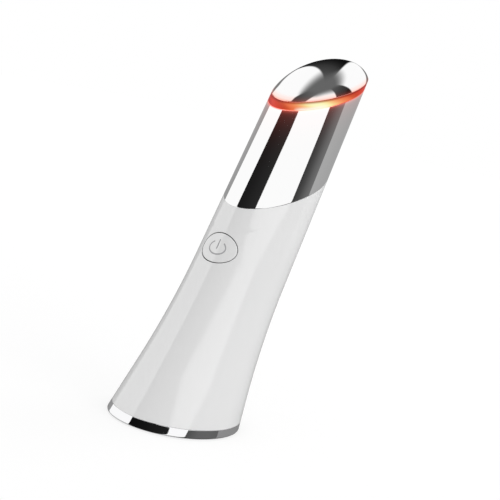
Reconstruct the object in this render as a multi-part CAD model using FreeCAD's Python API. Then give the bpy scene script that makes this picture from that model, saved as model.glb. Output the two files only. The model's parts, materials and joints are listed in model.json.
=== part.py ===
"""Heated eye massager wand: a leaning, flared handle with a chrome barrel and an oblique heated head.

Millimetres, +Z up. The wand stands on its foot at z = 0, with the origin where its own axis meets
the table. Its front, with the button and the low side of the head, faces -Y, and it leans back to +Y.
Three frames are used: `row` (the part's own), `wand` (Z along the wand's axis) and `head` (Z square to
the massage plate's rim, Y up its slope).
"""
import FreeCAD
import Part
import math
import os
from FreeCAD import Matrix, Placement, Rotation, Vector

# ---- outer form -------------------------------------------------------------------------------
lean = 19.7                  # how far the axis leans back from the vertical, in degrees
cut_angle = 42.3             # slope of the head across the axis, in degrees
join_angle = 43.4            # slope of the join between handle and barrel
foot_radius = 19.7           # radius where the axis meets the table
flare_angle = 8.7            # half angle of the flared foot, in degrees
flare_blend = 290.0          # radius of the long curve between the flare and the barrel
join_height = 78.6           # height of the handle's upper edge, on the axis
barrel_length = 35.15        # from the join to the massage plate's rim, on the axis
barrel_radius = 14.0         # radius at the join
barrel_taper = 1.15          # half angle of the barrel, in degrees
dome_height = 7.4            # rise of the plate above its rim, along the dome's own lean
dome_lean = 27.3             # lean of the dome from the rim's normal, in degrees
dome_start = 19.2            # latitude on its ball at which the dome meets the rim
base_ring_height = 2.8       # top of the chrome foot ring above the table
light_ring_height = 2.0      # visible height of the light ring, square to its edge

# ---- walls and fits ---------------------------------------------------------------------------
shell_wall = 2.0
barrel_wall = 1.6
fit_gap = 0.1                # each side, between pieces that slot together
screw_gap = 0.02             # between a screw and the plastic that it cuts into
merge = 0.3                  # how far a feature roots into the wall that it stands on
spigot_wall = 1.4
spigot_depth = 5.0           # how far the barrel plugs into the handle
spigot_root = 2.0            # solid collar above the join that carries the spigot

# ---- button -----------------------------------------------------------------------------------
button_below_join = 27.0     # the button's centre, along the axis
button_half_width = 6.6
button_half_height = 4.65
button_gap = 0.25            # shut line round the button
button_travel = 0.3
button_flange = 0.8          # rim behind the wall that keeps the button in
flange_reach = 0.9           # how far that rim reaches past the opening
button_stem = 0.3            # length of the stem that meets the switch
symbol_half_width = 3.1      # power symbol
symbol_half_height = 2.1
symbol_line = 0.42
symbol_depth = 0.2
symbol_opening = 72.0        # open part of the symbol's ring, in degrees
symbol_bar_low = -0.5        # the bar's ends, from the button's centre
symbol_bar_high = 2.7

# ---- head -------------------------------------------------------------------------------------
ring_rim = 2.4               # radial width of the light ring's visible rim
ring_lip_wall = 1.2
ring_lip_depth = 2.5
plate_lip = 1.1              # locating lip under the plate's rim
plate_lip_depth = 1.0
pocket_step = 0.15           # narrow step between the lip and the pocket
plate_crown = 1.6            # metal over the plate's pocket, along the dome's lean
pocket_ceiling = 4.0         # flat roof of the pocket, above the rim
post_offset = 6.2            # the plate's screw posts, left and right of the axis
post_radius = 2.0
post_gap = 0.05              # between the posts and the carrier, so that the plate closes on the ring
pilot_ceiling = 2.4          # top of the screw holes in the posts, above the rim
ledge_height = 1.0           # ledge inside the barrel that the head is clamped to
ledge_reach = 3.6            # from the barrel's inner wall
carrier_flange_height = 1.6
carrier_top_drop = 2.5       # top of the carrier, below the plate's rim
plate_screw_length = 8.4
led_board_thickness = 0.8
led_board_width = 4.4        # radial width of the oval board
led_count = 8
led_depth = 1.4              # of each lamp, along the radius
led_width = 1.6
led_height = 0.7
led_setback = 1.2            # of each lamp's middle from the board's outer edge
heater_half_length = 6.2     # along the slope
heater_thickness = 0.6
heater_margin = 0.3          # between the heater and the posts
tail_half_width = 1.2        # flexible tail from the heater to the lamp board
tail_thickness = 0.3
tail_landing = 0.2           # from the board's inner edge to the tail
backing_margin = 0.9         # how far the foam behind the heater stays inside its sides
backing_half_length = 4.0
thermistor_width = 0.9
thermistor_length = 1.8
thermistor_height = 0.6

# ---- screws -----------------------------------------------------------------------------------
screw_radius = 0.95
screw_head_radius = 1.8
screw_head_height = 1.3
screw_clearance = 0.2
drive_length = 1.5           # cross recess in each screw's head
drive_width = 0.4
drive_depth = 0.6
boss_end = 1.0               # hole left beyond a screw's tip

# ---- main board -------------------------------------------------------------------------------
board_thickness = 1.2
board_half_width = 9.0
board_low = 17.0
board_above_button = 11.0    # upper edge of the board, from the button's centre
board_hole_radius = 0.6
board_hole_edge = 1.6        # from the hole's middle to the board's edges
switch_size = 6.0
switch_body = 3.2
plunger_radius = 1.5
plunger_rise = 1.3
plunger_root = 0.6           # plunger inside the switch's bore
socket_width = 4.4
socket_height = 3.2
socket_depth = 2.4
socket_edge = 3.0            # from the board's upper or lower edge to a socket
socket_pitch = 5.4           # between the three upper sockets

# ---- frame, cell and motor --------------------------------------------------------------------
standoff = 0.5               # height of the frame's pads under the board
pad_size = 2.6
web_thickness = 1.4          # frame wall between the board and the cell
web_half_width = 8.8
battery_radius = 7.0
battery_length = 40.0
battery_low = 16.0
terminal_radius = 3.0
terminal_height = 0.8
cell_gap = 0.15
cradle_wall = 1.0
cradle_width = 3.0
cradle_inset = 5.0           # from the cell's ends
cradle_mouth = 3.8           # where the cradles open, behind the cell's axis
stop_thickness = 1.5         # shelves at the cell's two ends
stop_half_width = 4.5
stop_reach = 2.0             # lower shelf, behind the cell's axis
stop_clearance = 0.5         # upper shelf, from the terminal
window_half_width = 6.4      # opening that the leads take through the web
window_edge = 0.8            # from the cell's upper shelf to the window
window_bridge = 2.0          # from the window to the motor's tube
motor_radius = 3.5
motor_below_join = 4.0       # foot of the motor's can, along the axis
motor_length = 15.5
motor_proud = 0.5            # motor beyond the frame's tube
motor_nose_radius = 1.5
motor_nose = 0.5
motor_cap_inset = 0.3
motor_cap_thickness = 1.2
tag_offset = 1.9
tag_width = 1.4
tag_thickness = 0.6
tag_length = 1.6
shaft_radius = 0.5
shaft_gap = 0.04
shaft_out = 6.0              # shaft beyond the motor's can
shaft_in = 9.0
shaft_end = 0.3              # room under the shaft's inner end
weight_radius = 3.0
weight_length = 4.5
weight_gap = 0.8             # between the motor's can and the weight
weight_hub = 1.2
weight_fit = 0.005           # pressed on with no visible play
boot_wall = 1.0
boot_length = 11.0
boot_rise = 3.0              # start of the boot above the motor's foot
boot_fit = 0.05
tube_wall = 1.2
crossbar_height = 2.0
crossbar_half_width = 1.8
frame_clearance = 0.3        # between the frame and the bore that it passes
screw_edge = 1.6             # from the crossbar's end to its screw
barrel_boss_radius = 1.9
barrel_boss_rib = 1.6
barrel_screw_length = 6.0    # of the screw inside the barrel's boss

# ---- foot -------------------------------------------------------------------------------------
foot_lift = 0.3              # the chrome ring stands this far off the table, on the pad
ring_wall = 1.2
ring_shelf = 0.7             # inward shelf at the ring's top
ring_edge = 0.45             # rounding of the ring's lower edge
cap_floor = 3.0
cap_spigot = 3.7             # wall of the cap inside the handle
pad_inset = 1.7
pad_recess = 0.8
base_boss_offset = 10.8
base_boss_radius = 2.4
base_boss_height = 11.7
base_bar_rise = 7.9          # underside of the frame's foot bar above the cap's floor
base_bar_thickness = 2.4
base_screw_length = 8.0
charge_board_rise = 4.7      # above the cap's floor
charge_board_length = 15.0
charge_board_width = 11.0
charge_board_thickness = 1.0
charge_post_offset = 5.9
charge_post_radius = 1.4
charge_pin_radius = 0.6
charge_pin_fit = 0.05        # round the pins that locate the charge board and the ballast
charge_pin_proud = 0.4
ballast_height = 9.5         # steel weight in the front of the foot, on the cap's floor
ballast_gap = 0.8            # from the charge board
ballast_pin_offset = 6.0     # its two pins, from the mirror plane
ballast_pin_front = 8.6      # and forward of the wand's axis at the table
ballast_pin_radius = 1.2
usb_width = 8.94
usb_height = 3.26
usb_behind = 3.8             # how far the socket lies behind the wand's axis at the table
usb_wall = 0.28
usb_recess = 0.2             # mouth of the socket above the ring's lower edge
usb_clearance = 0.2
usb_pad_gap = 0.7
usb_back = 0.3               # closed end of the socket's shell
insulator_depth = 1.6
tongue_width = 6.7
tongue_thickness = 0.7
tongue_recess = 0.9          # from the socket's mouth to the tongue

# ---- leads ------------------------------------------------------------------------------------
lead_radius = 0.45
lead_clearance = 0.25

# ---- frames and shared places -----------------------------------------------------------------
row = Placement()
wand = Placement(Vector(0, 0, 0), Rotation(Vector(1, 0, 0), -lean))
rim_height = join_height + barrel_length
button_height = join_height - button_below_join
slope = math.tan(math.radians(cut_angle))
slant = math.cos(math.radians(cut_angle))
beyond = rim_height + 2 * foot_radius    # past the wand on every side, for cutting tools


def along(frame, x, y, z, angle=0.0):
    """A frame moved inside another one, and turned about the X axis."""
    return frame.multiply(Placement(Vector(x, y, z), Rotation(Vector(1, 0, 0), angle)))


head = along(wand, 0, 0, rim_height, cut_angle)
join = along(wand, 0, 0, join_height, join_angle)
button_frame = along(wand, 0, 0, button_height, 90.0)      # Z runs out of the front, Y up the wand


def placed(shape, frame):
    shape.Placement = frame.multiply(shape.Placement)
    return shape


def box(frame, x0, x1, y0, y1, z0, z1):
    low_x, high_x = sorted((x0, x1))
    return placed(Part.makeBox(high_x - low_x, y1 - y0, z1 - z0, Vector(low_x, y0, z0)), frame)


def rod(frame, radius, x, y, z0, z1):
    return placed(Part.makeCylinder(radius, z1 - z0, Vector(x, y, z0)), frame)


def slab(frame, low, high):
    return box(frame, -beyond, beyond, -beyond, beyond, low, high)


def pair(offset):
    """The two mirrored places of a feature, left and right of the mirror plane."""
    return (-offset, offset)


def fused(shapes):
    first, *rest = shapes
    return first.fuse(rest).removeSplitter()


def outer_radius(height):
    """Radius of the straight barrel, which the handle's upper part continues."""
    return barrel_radius + (join_height - height) * math.tan(math.radians(barrel_taper))


def core(inset=0.0):
    """The wand's whole outer form, taken in by `inset`: flared cone, long curve, tapered barrel."""
    taper, flare = math.radians(barrel_taper), math.radians(flare_angle)
    low_z, high_z = -foot_radius, rim_height + 2 * barrel_radius
    meet_z = (foot_radius - outer_radius(0)) / (math.tan(flare) - math.tan(taper))
    meet = Vector(outer_radius(meet_z) - inset, 0, meet_z)
    half, middle = (flare - taper) / 2, (flare + taper) / 2
    reach = flare_blend * math.tan(half)
    bulge = flare_blend * (1 / math.cos(half) - 1)
    blend_low = meet + Vector(math.sin(flare), 0, -math.cos(flare)) * reach
    blend_high = meet + Vector(-math.sin(taper), 0, math.cos(taper)) * reach
    blend_mid = meet + Vector(math.cos(middle), 0, math.sin(middle)) * bulge
    low = Vector(foot_radius - inset - low_z * math.tan(flare), 0, low_z)
    high = Vector(outer_radius(high_z) - inset, 0, high_z)
    edges = [
        Part.LineSegment(Vector(0, 0, low_z), low),
        Part.LineSegment(low, blend_low),
        Part.Arc(blend_low, blend_mid, blend_high),
        Part.LineSegment(blend_high, high),
        Part.LineSegment(high, Vector(0, 0, high_z)),
        Part.LineSegment(Vector(0, 0, high_z), Vector(0, 0, low_z)),
    ]
    face = Part.Face(Part.Wire([edge.toShape() for edge in edges]))
    return placed(face.revolve(Vector(0, 0, 0), Vector(0, 0, 1), 360), wand)


def plug(inset, frame, low, high):
    """The part of the wand's form between two parallel planes of a frame."""
    return core(inset).common(slab(frame, low, high))


def sleeve(outside, inside, frame, low, high):
    """A wall that follows the wand's form, between two insets and two planes."""
    return plug(outside, frame, low, high).cut(core(inside))


def oval(frame, half_width, half_length, low, high):
    """An oval bar along the frame's Z, with its width along X."""
    long_way = half_length > half_width
    major, minor = max(half_width, half_length), min(half_width, half_length)
    ellipse = Part.Ellipse(Vector(0, 0, low), major, minor).toShape()
    bar = Part.Face(Part.Wire(ellipse)).extrude(Vector(0, 0, high - low))
    turn = Placement(Vector(), Rotation(Vector(0, 0, 1), 90 if long_way else 0))
    return placed(bar, frame.multiply(turn))


def screw(frame, x, y, z, length):
    """A pan-head screw driven along the frame's +Z, with its head's underside at z."""
    shank = rod(frame, screw_radius, x, y, z, z + length)
    cap = rod(frame, screw_head_radius, x, y, z - screw_head_height, z)
    low, high = z - 2 * screw_head_height, z - screw_head_height + drive_depth
    recess = [
        box(frame, x - a / 2, x + a / 2, y - b / 2, y + b / 2, low, high)
        for a, b in ((drive_length, drive_width), (drive_width, drive_length))
    ]
    return fused([shank, cap]).cut(recess)


# ---- handle -----------------------------------------------------------------------------------
flange_depth = shell_wall + fit_gap + button_flange
button_stem_out = outer_radius(button_height) - flange_depth       # distances forward of the axis
plunger_out = button_stem_out - button_stem
switch_out = plunger_out - plunger_rise
bore_depth = plunger_root + button_travel + fit_gap
board_front = -(switch_out - switch_body)
board_back = board_front + board_thickness
board_high = button_height + board_above_button


def front_prism(half_width, half_height):
    return oval(button_frame, half_width, half_height, 0, 2 * foot_radius)


def button_prism(grow):
    return front_prism(button_half_width + grow, button_half_height + grow)


def handle_shell():
    wall = sleeve(0, shell_wall, row, base_ring_height, beyond)
    return wall.common(slab(join, -beyond, 0)).cut(button_prism(button_gap))


def symbol_prisms():
    """The open ring and the bar of the power symbol, as bars through the button."""
    half_line = symbol_line / 2
    outer = front_prism(symbol_half_width + half_line, symbol_half_height + half_line)
    inner = front_prism(symbol_half_width - half_line, symbol_half_height - half_line)
    half, reach = math.radians(symbol_opening / 2), 2 * button_half_width
    corner = Vector(reach * math.sin(half), reach * math.cos(half), 0)
    outline = Part.makePolygon([Vector(), corner, Vector(-corner.x, corner.y, 0), Vector()])
    wedge = placed(Part.Face(outline).extrude(Vector(0, 0, 2 * foot_radius)), button_frame)
    bar = box(button_frame, -half_line, half_line, symbol_bar_low, symbol_bar_high, 0, 2 * foot_radius)
    return outer.cut([inner, wedge]), bar


def power_symbol():
    """Grey filling of the engraved power symbol, flush with the button."""
    skin = core(0).cut(core(symbol_depth))
    return [prism.common(skin) for prism in symbol_prisms()]


def power_button():
    face = button_prism(0).common(core(0)).cut(core(flange_depth))
    flange = button_prism(flange_reach).common(core(shell_wall + fit_gap)).cut(core(flange_depth))
    stem = rod(button_frame, plunger_radius, 0, 0, plunger_out, button_stem_out + button_flange)
    engraving = core(0).cut(core(symbol_depth))
    grooves = [prism.common(engraving) for prism in symbol_prisms()]
    return fused([face, flange, stem]).cut(grooves)


# ---- main board -------------------------------------------------------------------------------
def main_board():
    board = box(wand, -board_half_width, board_half_width, board_front, board_back, board_low, board_high)
    across = along(wand, 0, board_back, 0, 90.0)
    holes = [
        rod(across, board_hole_radius, x, z, -board_thickness, 2 * board_thickness)
        for x in pair(board_half_width - board_hole_edge)
        for z in (board_low + board_hole_edge, board_high - board_hole_edge)
    ]
    return board.cut(holes)


def on_board(x, z, width, height, depth):
    """A component on the front of the main board."""
    front = board_front - depth
    return box(wand, x - width / 2, x + width / 2, front, board_front, z - height / 2, z + height / 2)


def tact_switch():
    body = on_board(0, button_height, switch_size, switch_size, switch_body)
    bore = rod(button_frame, plunger_radius + fit_gap, 0, 0, switch_out - bore_depth, switch_out + merge)
    return body.cut(bore)


def switch_plunger():
    return rod(button_frame, plunger_radius, 0, 0, switch_out - plunger_root, plunger_out)


def board_chips():
    """Controller, charger, motor driver, coil and small parts: x, distance below the button, size."""
    chips = [
        (-4.5, 11.0, 5.0, 5.0, 1.0),
        (3.8, 12.5, 4.0, 4.9, 1.5),
        (-5.0, 19.5, 3.0, 1.6, 1.0),
        (4.4, 19.0, 4.0, 4.0, 2.0),
        (-6.8, 4.5, 1.2, 2.0, 0.6),
        (6.6, 6.5, 1.2, 2.0, 0.6),
        (-1.0, 17.5, 1.2, 2.0, 0.6),
        (0.8, 19.8, 2.0, 1.2, 0.6),
    ]
    return [on_board(x, button_height - drop, width, height, depth)
            for x, drop, width, height, depth in chips]


upper_sockets = board_high - socket_edge - socket_height / 2
lower_socket = board_low + socket_edge / 2 + socket_height / 2
lead_front = board_front - socket_depth / 2                # where leads enter the sockets
upper_entry = upper_sockets + socket_height / 2
lower_entry = lower_socket - socket_height / 2


def lead_sockets():
    """Three sockets along the upper edge, for the cell, motor and head, and one below for charging."""
    places = [(n * socket_pitch, upper_sockets) for n in (-1, 0, 1)] + [(0, lower_socket)]
    return [on_board(x, z, socket_width, socket_height, socket_depth) for x, z in places]


# ---- frame, cell and motor --------------------------------------------------------------------
motor_low = join_height - motor_below_join
web_front = board_back + standoff
web_back = web_front + web_thickness
battery_high = battery_low + battery_length
can_high = battery_high - terminal_height
cell_axis = web_back + cell_gap + battery_radius           # how far the cell lies behind the wand's axis
tube_radius = motor_radius + boot_wall + tube_wall
cap_low = motor_low - motor_cap_thickness
tube_low = cap_low - fit_gap
motor_high = motor_low + motor_length
boot_low = motor_low + boot_rise
crossbar_top = motor_high - motor_proud
spigot_inset = shell_wall + fit_gap
bore_inset = spigot_inset + spigot_wall                    # the narrowest way up through the barrel
crossbar_half_length = outer_radius(crossbar_top) - bore_inset - frame_clearance
barrel_boss_offset = crossbar_half_length - screw_edge
cap_top = foot_lift + cap_floor
base_bar_low = cap_top + base_bar_rise


def battery_cell():
    can = rod(wand, battery_radius, 0, cell_axis, battery_low, can_high)
    terminal = rod(wand, terminal_radius, 0, cell_axis, can_high, battery_high)
    return fused([can, terminal])


def cradle(z):
    """A C-shaped rib round the cell, standing on the back of the frame's web."""
    top = z + cradle_width
    outer = rod(wand, battery_radius + cell_gap + cradle_wall, 0, cell_axis, z, top)
    inner = rod(wand, battery_radius + cell_gap, 0, cell_axis, z - merge, top + merge)
    in_front = box(wand, -beyond, beyond, -beyond, web_front, z - merge, top + merge)
    mouth = box(wand, -beyond, beyond, cell_axis + cradle_mouth, beyond, z - merge, top + merge)
    return outer.cut([inner, in_front, mouth])


def inner_frame():
    """The moulded skeleton that carries the board, the cell and the motor, and ties foot to barrel."""
    web = box(wand, -web_half_width, web_half_width, web_front, web_back, 0, tube_low + tube_radius)
    web = web.common(slab(row, base_bar_low, beyond))
    half_pad = pad_size / 2
    pads = [
        box(wand, x - half_pad, x + half_pad, board_back, web_front + merge, z - half_pad, z + half_pad)
        for x in pair(board_half_width - board_hole_edge)
        for z in (board_low + board_hole_edge, board_high - board_hole_edge)
    ]
    lower_top, upper_low = battery_low - cell_gap, can_high + cell_gap
    upper_back = cell_axis - terminal_radius - stop_clearance
    stops = [
        box(wand, -stop_half_width, stop_half_width, web_front, cell_axis + stop_reach,
            lower_top - stop_thickness, lower_top),
        box(wand, -stop_half_width, stop_half_width, web_front, upper_back,
            upper_low, upper_low + stop_thickness),
    ]
    cradles = [cradle(z) for z in (battery_low + cradle_inset, can_high - cradle_inset - cradle_width)]
    motor_tube = rod(wand, tube_radius, 0, 0, tube_low, crossbar_top)
    crossbar = box(wand, -crossbar_half_length, crossbar_half_length, -crossbar_half_width,
                   crossbar_half_width, crossbar_top - crossbar_height, crossbar_top)
    boss_top = cap_top + base_boss_height
    bosses = [rod(row, base_boss_radius, x, 0, cap_top, boss_top) for x in pair(base_boss_offset)]
    foot_bar = box(row, -base_boss_offset, base_boss_offset, -base_boss_radius, base_boss_radius,
                   base_bar_low, base_bar_low + base_bar_thickness)
    frame = fused([web, *pads, *stops, *cradles, motor_tube, crossbar, *bosses, foot_bar])
    window = box(wand, -window_half_width, window_half_width, web_front - merge, web_back + merge,
                 upper_low + stop_thickness + window_edge, tube_low - window_bridge)
    holes = [
        rod(wand, motor_radius + boot_wall + boot_fit, 0, 0, boot_low - fit_gap, beyond),
        rod(wand, motor_radius + fit_gap, 0, 0, tube_low - merge, beyond),
    ]
    pilot_top = foot_seat + base_screw_length + boss_end
    holes += [rod(row, screw_radius + screw_gap, x, 0, 0, pilot_top) for x in pair(base_boss_offset)]
    holes += [rod(wand, screw_radius + screw_clearance, x, 0, crossbar_top - 2 * crossbar_height, beyond)
              for x in pair(barrel_boss_offset)]
    return frame.cut([window, *holes])


def motor_can():
    can = rod(wand, motor_radius, 0, 0, motor_low, motor_high)
    nose = rod(wand, motor_nose_radius, 0, 0, motor_high, motor_high + motor_nose)
    bore = rod(wand, shaft_radius + shaft_gap, 0, 0, motor_high - shaft_in - shaft_end, beyond)
    return fused([can, nose]).cut(bore)


def motor_end_cap():
    disc = rod(wand, motor_radius - motor_cap_inset, 0, 0, cap_low, motor_low)
    tags = [
        box(wand, x - tag_width / 2, x + tag_width / 2, -tag_thickness / 2, tag_thickness / 2,
            cap_low - tag_length, cap_low + merge)
        for x in pair(tag_offset)
    ]
    return fused([disc, *tags])


def motor_boot():
    boot = rod(wand, motor_radius + boot_wall, 0, 0, boot_low, boot_low + boot_length)
    return boot.cut(rod(wand, motor_radius, 0, 0, 0, beyond))


def motor_shaft():
    return rod(wand, shaft_radius, 0, 0, motor_high - shaft_in, motor_high + shaft_out)


def eccentric_weight():
    """A half disc that hangs to the back, where gravity holds it at rest."""
    low = motor_high + weight_gap
    high = low + weight_length
    disc = rod(wand, weight_radius, 0, 0, low, high)
    back = box(wand, -beyond, beyond, 0, beyond, low, high)
    hub = rod(wand, weight_hub, 0, 0, low, high)
    return fused([disc.common(back), hub]).cut(rod(wand, shaft_radius + weight_fit, 0, 0, 0, beyond))


# ---- barrel and head --------------------------------------------------------------------------
barrel_top = -light_ring_height                            # planes of the head frame
lip_low = barrel_top - ring_lip_depth
ledge_top = lip_low - fit_gap
ledge_low = ledge_top - ledge_height
carrier_low = ledge_low - carrier_flange_height
carrier_top = -carrier_top_drop
led_board_top = carrier_top + led_board_thickness
ledge_inset = barrel_wall + ledge_reach
ring_lip_inset = barrel_wall + fit_gap
plate_lip_inset = ring_rim + fit_gap
pocket_inset = plate_lip_inset + plate_lip
led_board_inset = ring_lip_inset + ring_lip_wall + fit_gap
head_radius = outer_radius(rim_height)
board_inner_radius = head_radius - led_board_inset - led_board_width
tail_start = board_inner_radius / slant + led_board_top * slope + tail_landing
heater_centre = pocket_ceiling * math.tan(math.radians(dome_lean))    # up the slope, as the dome leans
heater_half_width = post_offset - post_radius - heater_margin
heater_low = pocket_ceiling - heater_thickness
backing_half_width = heater_half_width - backing_margin
backing_centre = board_inner_radius / slant + carrier_top * slope - heater_margin - backing_half_length
counterbore = screw_head_radius + screw_clearance
plate_screw_seat = rim_height + carrier_low / slant + counterbore * slope + fit_gap
head_lead_ends = ((3.3, -6.1), (4.9, -4.9))                # where the head's leads pass the carrier


def chrome_barrel():
    tube = sleeve(0, barrel_wall, head, -beyond, barrel_top).common(slab(join, 0, beyond))
    collar = sleeve(0, bore_inset, join, 0, spigot_root)
    spigot = sleeve(spigot_inset, bore_inset, join, -spigot_depth, merge)
    ledge = sleeve(barrel_wall / 2, ledge_inset, head, ledge_low, ledge_top)
    boss_top = crossbar_top + barrel_screw_length + 2 * boss_end
    bosses, pilots = [], []
    for x in pair(barrel_boss_offset):
        bosses.append(rod(wand, barrel_boss_radius, x, 0, crossbar_top, boss_top))
        rib = box(wand, x, math.copysign(barrel_radius, x), -barrel_boss_rib / 2, barrel_boss_rib / 2,
                  crossbar_top, boss_top)
        bosses.append(rib.common(core(barrel_wall / 2)))
        pilots.append(rod(wand, screw_radius + screw_gap, x, 0, crossbar_top - merge, boss_top - boss_end))
    return fused([tube, collar, spigot, ledge, *bosses]).cut(pilots)


def light_ring():
    rim = sleeve(0, ring_rim, head, barrel_top, 0)
    lip = sleeve(ring_lip_inset, ring_lip_inset + ring_lip_wall, head, lip_low, barrel_top + merge)
    return fused([rim, lip])


def dome(inset, rise):
    """Cap of an ellipsoid on the wand's oblique outline, leaning up the slope."""
    cone = math.tan(math.radians(barrel_taper)) * slope
    radius = (head_radius - inset) / (1 - cone ** 2)
    tip, start = math.radians(dome_lean), math.radians(dome_start)
    rim, low = math.cos(start), math.sin(start)                # of the cap, on a ball of radius 1
    cap = Part.makeSphere(1.0, Vector(0, 0, -low), Vector(0, 0, 1), dome_start, 90, 360)
    climb = rise / (1 - low)
    stretch = Matrix(
        radius * math.sqrt(1 - cone ** 2) / rim, 0, 0, 0,
        0, radius / slant / rim, climb * math.sin(tip), -radius * cone / slant,
        0, 0, climb * math.cos(tip), 0,
        0, 0, 0, 1)
    return placed(cap.transformGeometry(stretch), head)


def axial_rods(radius, low, high):
    """Two rods along the wand's axis, at the plate's screws, between two planes of the head frame."""
    tall = [rod(wand, radius, x, 0, 0, beyond) for x in pair(post_offset)]
    return [one.common(slab(head, low, high)) for one in tall]


def massage_plate():
    pocket = dome(pocket_inset + pocket_step, dome_height - plate_crown)
    pocket = pocket.common(slab(head, -merge, pocket_ceiling))
    body = dome(0, dome_height).cut(pocket)
    lip = sleeve(plate_lip_inset, pocket_inset, head, -plate_lip_depth, merge)
    posts = axial_rods(post_radius, carrier_top + post_gap, pocket_ceiling + merge)
    pilots = axial_rods(screw_radius + screw_gap, carrier_top - merge, pilot_ceiling)
    return fused([body, lip, *posts]).cut(pilots)


def head_carrier():
    flange = plug(bore_inset + fit_gap, head, carrier_low, ledge_low)
    block = plug(ledge_inset + fit_gap, head, ledge_low - merge, carrier_top)
    holes = [rod(wand, screw_radius + screw_clearance, x, 0, 0, beyond) for x in pair(post_offset)]
    holes += [rod(wand, counterbore, x, 0, 0, plate_screw_seat) for x in pair(post_offset)]
    holes += [rod(wand, lead_radius + lead_clearance, x, y, 0, beyond) for x, y in head_lead_ends]
    return fused([flange, block]).cut(holes)


def led_board():
    board = sleeve(led_board_inset, led_board_inset + led_board_width, head, carrier_top, led_board_top)
    return board.cut([rod(wand, post_radius + screw_clearance, x, 0, 0, beyond) for x in pair(post_offset)])


def ring_leds():
    """Side-firing lamps spread round the oval board, clear of the screw posts."""
    leds = []
    radius = head_radius - led_board_inset - led_setback
    for n in range(led_count):
        angle = 2 * math.pi * (n + 0.5) / led_count
        x, y = radius * math.cos(angle), radius * math.sin(angle)
        centre = Vector(x, y / slant + led_board_top * slope, led_board_top)
        spin = Placement(centre, Rotation(Vector(0, 0, 1), math.degrees(angle)))
        leds.append(box(head.multiply(spin), -led_depth / 2, led_depth / 2, -led_width / 2, led_width / 2,
                        0, led_height))
    return leds


def heater_pad():
    """Oval film heater, with a tail down to the lamp board."""
    middle = along(head, 0, heater_centre, 0)
    film = oval(middle, heater_half_width, heater_half_length, heater_low, pocket_ceiling)
    tail = box(head, -tail_half_width, tail_half_width, tail_start, tail_start + tail_thickness,
               led_board_top, heater_low + heater_thickness / 2)
    return fused([film, tail])


def on_heater(grow):
    """The thermistor's block against the middle of the foam, grown on every side."""
    half_width, half_length = thermistor_width / 2 + grow, thermistor_length / 2 + grow
    return box(along(head, 0, backing_centre, 0), -half_width, half_width, -half_length, half_length,
               heater_low - thermistor_height - grow, heater_low)


def thermistor():
    return on_heater(0)


def heater_backing():
    middle = along(head, 0, backing_centre, 0)
    foam = oval(middle, backing_half_width, backing_half_length, carrier_top, heater_low)
    return foam.cut(on_heater(fit_gap))


def plate_screws():
    return [screw(wand, x, 0, plate_screw_seat, plate_screw_length) for x in pair(post_offset)]


def frame_screws():
    under = crossbar_top - crossbar_height
    length = crossbar_height + barrel_screw_length
    return [screw(wand, x, 0, under, length) for x in pair(barrel_boss_offset)]


# ---- foot -------------------------------------------------------------------------------------
shelf_low = base_ring_height - ring_shelf
pad_top = foot_lift + pad_recess
foot_seat = pad_top + screw_head_height
charge_board_low = cap_top + charge_board_rise
charge_board_top = charge_board_low + charge_board_thickness
usb_mouth = foot_lift + usb_recess


def base_ring():
    wall = sleeve(0, ring_wall, row, foot_lift, base_ring_height)
    shelf = sleeve(ring_wall / 2, shell_wall, row, shelf_low, base_ring_height)
    ring = fused([wall, shelf])
    low_edges = [edge for edge in ring.Edges if edge.BoundBox.ZMax < foot_lift + fit_gap]
    outermost = max(low_edges, key=lambda edge: edge.BoundBox.XMax)
    return ring.makeFillet(ring_edge, [outermost])


def usb_slot(grow, low, high):
    """A rounded slot of the socket's shape, grown on every side."""
    half_height = usb_height / 2 + grow
    half_straight = (usb_width - usb_height) / 2
    socket = along(row, 0, usb_behind, 0)
    ends = [rod(socket, half_height, x, 0, low, high) for x in pair(half_straight)]
    middle = box(socket, -half_straight, half_straight, -half_height, half_height, low, high)
    return fused([*ends, middle])


def base_cap():
    floor = plug(ring_wall + fit_gap, row, foot_lift, shelf_low)
    deck = plug(spigot_inset, row, shelf_low - merge, cap_top)
    wall = sleeve(spigot_inset, bore_inset, row, cap_top - merge, cap_top + cap_spigot)
    posts = [rod(row, charge_post_radius, x, 0, cap_top - merge, charge_board_low)
             for x in pair(charge_post_offset)]
    pins = [rod(row, charge_pin_radius, x, 0, charge_board_low - merge, charge_board_top + charge_pin_proud)
            for x in pair(charge_post_offset)]
    pins += ballast_pins(0, cap_top - merge)
    cuts = [plug(pad_inset - fit_gap, row, 0, pad_top), usb_slot(usb_clearance, 0, cap_top + merge)]
    for x in pair(base_boss_offset):
        cuts.append(rod(row, screw_radius + screw_clearance, x, 0, 0, cap_top + merge))
        cuts.append(rod(row, counterbore, x, 0, 0, foot_seat))
    return fused([floor, deck, wall, *posts, *pins]).cut(cuts)


def ballast_pins(grow, low):
    return [rod(row, ballast_pin_radius + grow, x, -ballast_pin_front, low, cap_top + ballast_height + grow)
            for x in pair(ballast_pin_offset)]


def foot_ballast():
    """Steel block that keeps the leaning wand on its foot, staked on the cap in front of the axis."""
    block = plug(bore_inset + fit_gap, row, cap_top, cap_top + ballast_height)
    front = box(row, -beyond, beyond, -beyond, -charge_board_width / 2 - ballast_gap, 0, beyond)
    return block.common(front).cut(ballast_pins(charge_pin_fit, 0))


def base_screws():
    return [screw(row, x, 0, foot_seat, base_screw_length) for x in pair(base_boss_offset)]


def foot_pad():
    return plug(pad_inset, row, 0, pad_top).cut(usb_slot(usb_pad_gap, -pad_top, 2 * pad_top))


def charge_board():
    half_length, half_width = charge_board_length / 2, charge_board_width / 2
    board = box(row, -half_length, half_length, -half_width, half_width, charge_board_low, charge_board_top)
    return board.cut([rod(row, charge_pin_radius + charge_pin_fit, x, 0, 0, beyond)
                      for x in pair(charge_post_offset)])


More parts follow.
